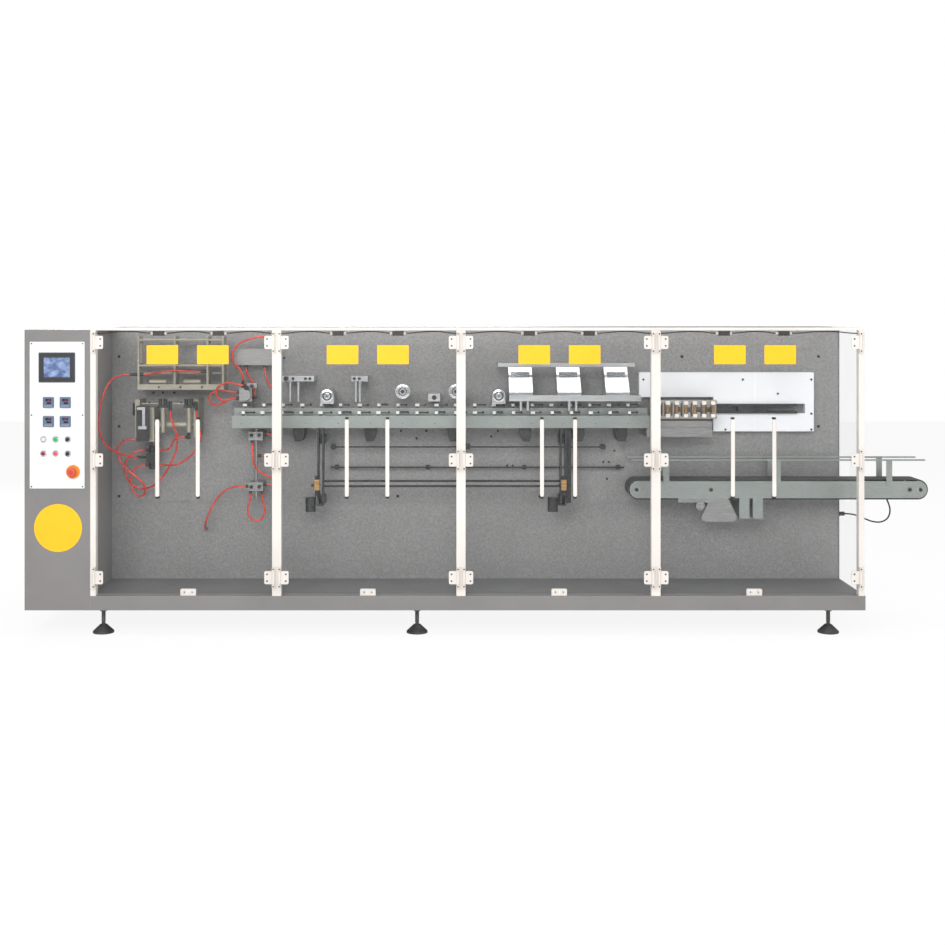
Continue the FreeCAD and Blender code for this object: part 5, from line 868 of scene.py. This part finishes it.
def screw_tree(facing):
    """Tree that puts a screw head on each point; `facing` turns its axis from +Z."""
    tree = bpy.data.node_groups.new("screws", "GeometryNodeTree")
    tree.interface.new_socket("Points", in_out="INPUT", socket_type="NodeSocketGeometry")
    sizes = {}
    for name, value in (("Head radius", 0.005), ("Head height", 0.004)):
        sizes[name] = tree.interface.new_socket(name, in_out="INPUT", socket_type="NodeSocketFloat")
        sizes[name].default_value = value
    for name in ("Head paint", "Socket paint"):
        sizes[name] = tree.interface.new_socket(name, in_out="INPUT", socket_type="NodeSocketMaterial")
    tree.interface.new_socket("Screws", in_out="OUTPUT", socket_type="NodeSocketGeometry")
    add, join = tree.nodes.new, tree.links.new
    given = add("NodeGroupInput")

    def scaled(name, factor):
        sized = add("ShaderNodeMath")
        sized.operation = "MULTIPLY"
        sized.inputs[1].default_value = factor
        join(given.outputs[name], sized.inputs[0])
        return sized.outputs[0]

    both = add("GeometryNodeJoinGeometry")
    for sides, width, height, paint in ((18, 1.0, 1.0, "Head paint"), (6, 0.55, 1.06, "Socket paint")):
        drum = add("GeometryNodeMeshCylinder")
        drum.inputs["Vertices"].default_value = sides
        join(scaled("Head radius", width), drum.inputs["Radius"])
        join(scaled("Head height", height), drum.inputs["Depth"])
        colour = add("GeometryNodeSetMaterial")
        join(drum.outputs["Mesh"], colour.inputs["Geometry"])
        join(given.outputs[paint], colour.inputs["Material"])
        join(colour.outputs[0], both.inputs[0])
    spread = add("GeometryNodeInstanceOnPoints")
    spread.inputs["Rotation"].default_value = facing
    real = add("GeometryNodeRealizeInstances")
    out = add("NodeGroupOutput")
    join(given.outputs["Points"], spread.inputs["Points"])
    join(both.outputs[0], spread.inputs["Instance"])
    join(spread.outputs[0], real.inputs[0])
    join(real.outputs[0], out.inputs[0])
    return tree, {name: socket.identifier for name, socket in sizes.items()}


FRONT_SCREWS = screw_tree((math.radians(90), 0, 0))
UPRIGHT_SCREWS = screw_tree((0, 0, 0))
SOCKET_DARK = plastic_paint("socket_shadow", grey(0.008), 0.7)


def screws(name, points, radius, height, paint, body="machine", kind=FRONT_SCREWS):
    """Screw heads centred on the points."""
    tree, keys = kind
    mesh = bpy.data.meshes.new(name)
    mesh.from_pydata([tuple(point) for point in points], [], [])
    cloud = bpy.data.objects.new(name, mesh)
    bpy.context.scene.collection.objects.link(cloud)
    maker = cloud.modifiers.new("screws", "NODES")
    maker.node_group = tree
    maker[keys["Head radius"]] = radius
    maker[keys["Head height"]] = height
    maker[keys["Head paint"]] = paint
    maker[keys["Socket paint"]] = SOCKET_DARK
    bpy.context.view_layer.update()
    done = cloud.evaluated_get(bpy.context.evaluated_depsgraph_get())
    made = bpy.data.meshes.new_from_object(done)
    cloud.modifiers.clear()
    cloud.data = made
    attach(cloud, body)
    return cloud


# %% Screws of the panel, hinges and plate
panel_low, panel_high = box_of("control_panel")
points = []
for x in (panel_low.x + 0.009, panel_high.x - 0.009):
    for z in (panel_low.z + 0.009, (panel_low.z + panel_high.z) / 2, panel_high.z - 0.009):
        points.append((x, panel_low.y - 0.001, z))
screws("panel_screws", points, 0.004, 0.003, JAW_STEEL)

HINGE_HEIGHTS = (0.288, 0.8755, 1.463)
SCREW_HALF_PITCH = 0.017
LEAF_SCREW_REACH = 0.032
bracket_points = []
for door in DOORS:
    hinge = next(joint for joint in frame["joints"] if joint["child"] == door)
    pin_x, pin_y, _ = hinge["pos_m"]
    outward = 1 if door.endswith("left") else -1
    leaf_points = []
    for height in HINGE_HEIGHTS:
        for rise in (-SCREW_HALF_PITCH, SCREW_HALF_PITCH):
            leaf_points.append((pin_x + outward * LEAF_SCREW_REACH, DOOR_FACE - 0.0042, height + rise))
    screws(f"{door}_leaf_screws", leaf_points, 0.0045, 0.0015, JAW_STEEL, door)

plate_low, plate_high = box_of("mounting_plate")
points = []
for x in (plate_low.x + 0.03, plate_high.x - 0.03):
    for z in (plate_low.z + 0.03, (plate_low.z + plate_high.z) / 2, plate_high.z - 0.03):
        points.append((x, plate_low.y - 0.001, z))
for share in (0.2, 0.4, 0.6, 0.8):
    across = plate_low.x + share * (plate_high.x - plate_low.x)
    points += [(across, plate_low.y - 0.001, plate_low.z + 0.03), (across, plate_low.y - 0.001, plate_high.z - 0.03)]
screws("plate_bolts", points, 0.008, 0.005, BLACK_STEEL)

# %% [markdown]
# ## The working units
# Behind the doors the pouches travel between two rows of spring jaws, past the coding head, the
# opening discs, the sealing jaws and the cooling plates. Painted highlights (bright strips along the
# jaws), black levers and brass springs are what the eye picks out there.

# %% Jaws of the transfer beam
PAD_HEIGHT = 0.012
# Each pad is a bright strip along the top of a dark jaw: a painted highlight.
pads, levers = Shapes(), Shapes()
clamps = solids_of("pouch_clamps")
for number, (low, high) in enumerate(clamps):
    middle = (low.x + high.x) / 2
    reach = 0.016 if number % 3 else 0.022
    pads.slab((middle - reach / 2, middle + reach / 2), (low.y - 0.0025, low.y - 0.0001), (high.z - PAD_HEIGHT, high.z + 0.002))
    lever_left = middle + 0.012
    length = 0.030 + 0.012 * (number % 2)
    rise = 0.004 + 0.003 * (number % 3)
    levers.slab((lever_left, lever_left + length), (low.y + 0.006, low.y + 0.014), (high.z - 0.008, high.z - 0.008 + rise))
    levers.rod("y", (lever_left + length, low.y + 0.016, high.z - 0.005), 0.006, 0.012, 14)
piece("jaw_highlight_strips", pads, brushed_paint("jaw_highlight_paint", tone(196, 196, 192), tone(236, 236, 233), (1, 1, 1), 0.3, 0.3),
      "clamp_plastic", bevel=0.0008)
piece("jaw_levers", levers, BLACK_STEEL, "clamp_plastic", bevel=0.0006)

# %% Dials of the motors and opening discs
DIAL_RADIUS = 0.024


def add_ring(shapes, centre, outer, inner, depth):
    """A flat ring facing the doors, as a turned section that closes on itself."""
    profile = [(inner, 0), (outer, 0), (outer, depth), (inner, depth)]
    turn = FACING["y"]
    rings = []
    for radius, along in profile:
        ring = []
        for step in range(32):
            angle = 2 * math.pi * step / 32
            local = Vector((radius * math.cos(angle), radius * math.sin(angle), -along))
            ring.append(shapes.mesh.verts.new(turn @ local + Vector(centre)))
        rings.append(ring)
    for first, second in zip(rings, rings[1:] + rings[:1]):
        for step in range(32):
            follow = (step + 1) % 32
            shapes.mesh.faces.new([first[step], first[follow], second[follow], second[step]])


dark_rings, bright_faces = Shapes(), Shapes()
for low, high in solids_of("station_units"):
    width, tall = high.x - low.x, high.z - low.z
    front = low.y
    centre = ((low.x + high.x) / 2, front, high.z - width / 2)
    if abs(width - 0.068) < 0.004:
        bright_faces.turned("y", (centre[0], front - 0.002, centre[2]), [(0.031, 0), (0.033, 0.0008), (0.033, 0.0019)], 40)
        add_ring(dark_rings, (centre[0], front - 0.006, centre[2]), DIAL_RADIUS, DIAL_RADIUS - 0.006, 0.004)
        bright_faces.rod("y", (centre[0], front - 0.007, centre[2]), 0.010, 0.005)
        dark_rings.rod("y", (centre[0], front - 0.0075, centre[2]), 0.004, 0.003, 6)
    elif abs(width - 0.076) < 0.004:
        bright_faces.turned("y", (centre[0], front - 0.003, centre[2]), [(0.030, 0), (0.036, 0.001), (0.036, 0.0029)], 48)
        add_ring(dark_rings, (centre[0], front - 0.005, centre[2]), 0.022, 0.018, 0.0025)
        dark_rings.rod("y", (centre[0], front - 0.006, centre[2]), 0.009, 0.004)
piece("dial_rings", dark_rings, BLACK_STEEL, "grey_steel", bevel=0.0005)
piece("dial_faces", bright_faces, BRIGHT_STEEL, "grey_steel")

# %% Brass springs of the cooling plates


def add_spring(shapes, centre, radius, wire, height, turns):
    """An upright coil spring, swept from a small hexagonal wire."""
    steps = turns * 12
    previous = None
    for step in range(steps + 1):
        angle = 2 * math.pi * step / 12
        out = Vector((math.cos(angle), math.sin(angle), 0))
        middle = Vector(centre) + out * radius + Vector((0, 0, height * step / steps))
        ring = []
        for corner in range(6):
            turn = math.pi * corner / 3
            ring.append(shapes.mesh.verts.new(middle + out * wire * math.cos(turn) + Vector((0, 0, wire * math.sin(turn)))))
        if previous:
            for corner in range(6):
                follow = (corner + 1) % 6
                shapes.mesh.faces.new([previous[corner], ring[corner], ring[follow], previous[follow]])
        else:
            shapes.mesh.faces.new(ring)
        previous = ring
    shapes.mesh.faces.new(list(reversed(previous)))


BRASS = brushed_paint("brass", tone(150, 112, 70), tone(206, 170, 118), (1, 1, 8), 0.24, 0.9)
clamp_low, clamp_high = box_of("cooling_clamps")
SPRING_COUNT = 7
SPRING_PITCH = (clamp_high.x - clamp_low.x) / SPRING_COUNT
springs, blocks = Shapes(), Shapes()
for number in range(SPRING_COUNT):
    middle = clamp_low.x + (number + 0.5) * SPRING_PITCH
    add_spring(springs, (middle, clamp_low.y - 0.010, clamp_low.z + 0.030), 0.0085, 0.0016, 0.036, 6)
    springs.rod("z", (middle, clamp_low.y - 0.010, clamp_low.z + 0.026), 0.005, 0.046)
    for bottom in (clamp_low.z + 0.008, clamp_high.z - 0.022):
        blocks.slab((middle - 0.011, middle + 0.011), (clamp_low.y - 0.020, clamp_low.y - 0.0001), (bottom, bottom + 0.018))
piece("cooling_springs", springs, BRASS, "brass_clamps")
piece("cooling_blocks", blocks, plastic_paint("pale_nylon", tone(224, 222, 218), 0.4), "brass_clamps", bevel=0.0015)

# %% Screws of the white cover and of the units
cover_low, cover_high = box_of("cooling_cover")
COVER_SCREWS = ((0.60, 0.88), (0.80, 0.64), (0.992, 0.88), (0.992, 0.30), (0.992, 0.03), (0.50, 0.03), (0.03, 0.88))
points = []
for across, up in COVER_SCREWS:
    x = cover_low.x + across * (cover_high.x - cover_low.x) - 0.006
    points.append((x, cover_low.y - 0.001, cover_low.z + up * (cover_high.z - cover_low.z)))
screws("cover_screws", points, 0.006, 0.004, JAW_STEEL)

unit_points = []
for node, heights in (("bearing_brackets", (0.78,)), ("pouch_magazine", (0.05,)), ("pickup_unit", (0.94,))):
    for low, high in solids_of(node):
        for share in (0.25, 0.5, 0.75):
            for up in heights:
                unit_points.append((low.x + share * (high.x - low.x), low.y - 0.001, low.z + up * (high.z - low.z)))
screws("unit_screws", unit_points, 0.0055, 0.004, BLACK_STEEL)

beam_low, beam_high = box_of("transfer_beam")
beam_points = [(beam_low.x + 0.05 + 0.1667 * step, beam_low.y - 0.001, beam_low.z + 0.024) for step in range(13)]
screws("beam_screws", beam_points, 0.005, 0.003, RAIL_STEEL)

# %% Conveyor: axle bolts and plate screws
side_low, side_high = box_of("conveyor_drums")
side_front = box_of("conveyor_frame")[0].y
middle_z = (side_low.z + side_high.z) / 2
conveyor_points = []
for x in (side_low.x + 0.035, side_low.x + 0.42, side_high.x - 0.09, side_high.x - 0.035):
    conveyor_points.append((x, side_front - 0.001, middle_z))
screws("conveyor_bolts", conveyor_points, 0.011, 0.006, JAW_STEEL)

# %% Handle caps
# Each bar handle stands on two dark feet, which show at its ends.
caps = {}
for door in DOORS:
    low, high = box_of(f"{door}_fittings")
    caps[door] = Shapes()
HANDLE_LOW, HANDLE_HIGH = 0.695, 1.080
HANDLE_FROM_SPLIT = {"1_left": 0.147, "1_right": 0.055, "2_left": 0.103, "2_right": 0.099,
                     "3_left": 0.089, "3_right": 0.076, "4_left": 0.115, "4_right": 0.091}
for door, shapes in caps.items():
    bay, side = int(door[5]), door[7:]
    away = HANDLE_FROM_SPLIT[door[5:]]
    x = SPLITS[bay] + (away if side == "right" else -away)
    for bottom in (HANDLE_LOW - 0.010, HANDLE_HIGH - 0.0002):
        shapes.slab((x - 0.0085, x + 0.0085), (DOOR_FACE - 0.024, DOOR_FACE - 0.002), (bottom, bottom + 0.010))
    piece(f"{door}_handle_caps", shapes, BLACK_PLASTIC, "fitting_steel", door, bevel=0.002)

# %% Switch collars
collars = Shapes()
for low, high in SWITCHES:
    middle = (low + high) / 2
    for x, length in ((low.x - 0.012, 0.0118), (high.x + 0.0002, 0.0118)):
        collars.rod("x", (x, middle.y, middle.z), 0.0075, length, 16)
piece("switch_collars", collars, plastic_paint("collar_pale", tone(214, 208, 200), 0.4), "black_plastic")

# %% Black rails and rods
dress(BLACK_STEEL, "guide_rails")

# %% [markdown]
# ### Rest of the mechanism
# The pick-up unit has a black carriage with a bright rocking lever between olive plates. The lifts
# carry a brass-coloured valve, and small black knobs clamp whatever the fitter sets by hand.

# %% Pick-up unit, opening unit and lifts
pickup_low, pickup_high = box_of("pickup_unit")
PICKUP_FRONT = pickup_low.y
carriage = Shapes()
carriage.slab((pickup_low.x + 0.014, pickup_low.x + 0.082), (PICKUP_FRONT - 0.004, PICKUP_FRONT + 0.001),
              (pickup_low.z + 0.004, pickup_high.z - 0.030))
piece("pickup_carriage", carriage, BLACK_STEEL, "black_steel", bevel=0.002)
lever = Shapes()
lever.slab((pickup_low.x + 0.020, pickup_low.x + 0.062), (PICKUP_FRONT - 0.014, PICKUP_FRONT - 0.0045),
           (pickup_high.z - 0.052, pickup_high.z - 0.038))
lever.slab((pickup_low.x + 0.046, pickup_low.x + 0.062), (PICKUP_FRONT - 0.014, PICKUP_FRONT - 0.0045),
           (pickup_high.z - 0.135, pickup_high.z - 0.052))
lever.slab((pickup_low.x + 0.026, pickup_low.x + 0.070), (PICKUP_FRONT - 0.016, PICKUP_FRONT - 0.0045),
           (pickup_high.z - 0.152, pickup_high.z - 0.135))
piece("pickup_lever", lever, ALUMINIUM, "grey_steel", bevel=0.0015)
dress(OLIVE_PLATE, "pickup_unit")
dress(ALUMINIUM, "station_units")

opener_low, opener_high = box_of("opening_station")
knobs = Shapes()
for x, y, z, radius, length in (
    (-1.232, -0.139, 1.222, 0.013, 0.020), (-1.205, -0.139, 1.232, 0.009, 0.026), (-1.250, -0.133, 1.180, 0.010, 0.018),
    (-1.232, -0.133, 1.160, 0.008, 0.022), (-1.213, -0.100, 0.972, 0.009, 0.016), (-1.172, -0.100, 0.972, 0.009, 0.016),
    (-1.213, -0.100, 0.702, 0.009, 0.016), (-1.172, -0.100, 0.702, 0.009, 0.016),
    (-1.026, -0.150, 1.270, 0.012, 0.018), (-0.990, -0.150, 1.270, 0.007, 0.012), (-0.925, -0.150, 1.270, 0.007, 0.012),
    (-0.902, -0.150, 1.270, 0.007, 0.012), (-0.672, -0.150, 1.270, 0.007, 0.012), (-0.645, -0.150, 1.270, 0.007, 0.012),
    (-0.256, -0.160, 1.172, 0.012, 0.004),
):
    knobs.rod("y", (x, y - length, z), radius, length, 20)
piece("clamp_knobs", knobs, BLACK_PLASTIC, "black_plastic")

valves, valve_ends = Shapes(), Shapes()
for low, high in solids_of("lift_slides"):
    middle = low.x + 0.66 * (high.x - low.x)
    front = low.y - 0.0002
    valves.slab((middle - 0.014, middle + 0.014), (front - 0.022, front), (low.z + 0.115, low.z + 0.170))
    for bottom, length in ((low.z + 0.088, 0.026), (low.z + 0.171, 0.020)):
        valve_ends.rod("z", (middle, front - 0.011, bottom), 0.0105, length)
    valve_ends.slab((middle - 0.030, middle - 0.014), (front - 0.018, front - 0.004), (low.z + 0.135, low.z + 0.147))
piece("lift_valves", valves, BRASS, "brass_clamps", bevel=0.0015)
piece("lift_valve_ends", valve_ends, BLACK_PLASTIC, "black_plastic")

# %% Bolts on the upright plate
extra = []
for x, z in ((-1.055, 1.372), (-0.953, 0.985), (-0.435, 0.985), (-0.300, 0.985), (-0.352, 0.945), (-0.868, 0.700),
             (-0.640, 0.690), (-0.600, 0.690), (0.080, 0.985), (0.045, 0.955), (0.420, 0.955), (0.470, 0.985),
             (0.130, 0.800), (0.160, 0.800), (0.640, 0.820), (0.670, 0.820), (0.660, 0.730), (0.700, 0.880),
             (-1.750, 1.188), (-1.700, 1.188), (-1.640, 1.188)):
    extra.append((x, plate_low.y - 0.0005, z))
screws("plate_small_bolts", extra, 0.0065, 0.003, BLACK_STEEL)

# %% Screws of the fixed hinge brackets
POST_SCREW_RISE = 0.043
points = []
for joint in frame["joints"]:
    pin_x = joint["pos_m"][0]
    for height in HINGE_HEIGHTS:
        for rise in (-POST_SCREW_RISE, POST_SCREW_RISE):
            points.append((pin_x, box_of("hinge_brackets")[0].y + 0.0005, height + rise))
screws("bracket_screws", points, 0.0042, 0.0025, JAW_STEEL)

# %% [markdown]
# ### The back
# The back of the drive housing is closed by lift-off panels, each a folded sheet on four screws,
# and the cabinet by its rear door. They are thin raised sheets with softly rounded corners.

# %% Rear panels
housing_low, housing_high = box_of("rear_housing")
PANEL_COUNT = 5
PANEL_MARGIN = 0.045
PANEL_SHEET = 0.0016
panel_pitch = (housing_high.x - housing_low.x) / PANEL_COUNT
rear_screws = []
back_panels = Shapes()


def add_rear_panel(shapes, x, z, back, radius):
    """A raised sheet on a rear face, broken round its outer edge."""
    rings = []
    for inset, depth in ((0, back + 0.0001), (0, back + PANEL_SHEET * 0.6), (0.0006, back + PANEL_SHEET)):
        outline = rounded_outline((x[0] + inset, x[1] - inset), (z[0] + inset, z[1] - inset), radius)
        rings.append([shapes.mesh.verts.new((a, depth, c)) for a, c in outline])
    for first, second in zip(rings, rings[1:]):
        for step in range(len(first)):
            follow = (step + 1) % len(first)
            shapes.mesh.faces.new([first[step], first[follow], second[follow], second[step]])
    shapes.mesh.faces.new(rings[0])
    shapes.mesh.faces.new(rings[-1])


for number in range(PANEL_COUNT):
    left = housing_low.x + number * panel_pitch + PANEL_MARGIN / 2
    right = left + panel_pitch - PANEL_MARGIN
    low, high = housing_low.z + 0.06, housing_high.z - 0.05
    add_rear_panel(back_panels, (left, right), (low, high), housing_high.y, 0.012)
    for x in (left + 0.02, right - 0.02):
        for z in (low + 0.02, (low + high) / 2, high - 0.02):
            rear_screws.append((x, housing_high.y + PANEL_SHEET, z))
cabinet_back = (cabinet_low.x + 0.03, cabinet_high.x - 0.03)
add_rear_panel(back_panels, cabinet_back, (cabinet_low.z + 0.08, cabinet_high.z - 0.05), cabinet_high.y, 0.012)
for z in (cabinet_low.z + 0.10, cabinet_high.z - 0.07):
    for x in (cabinet_back[0] + 0.02, cabinet_back[1] - 0.02):
        rear_screws.append((x, cabinet_high.y + PANEL_SHEET, z))
piece("rear_panels", back_panels, GREY_ENAMEL, "grey_paint")
screws("rear_panel_screws", rear_screws, 0.007, 0.004, JAW_STEEL)
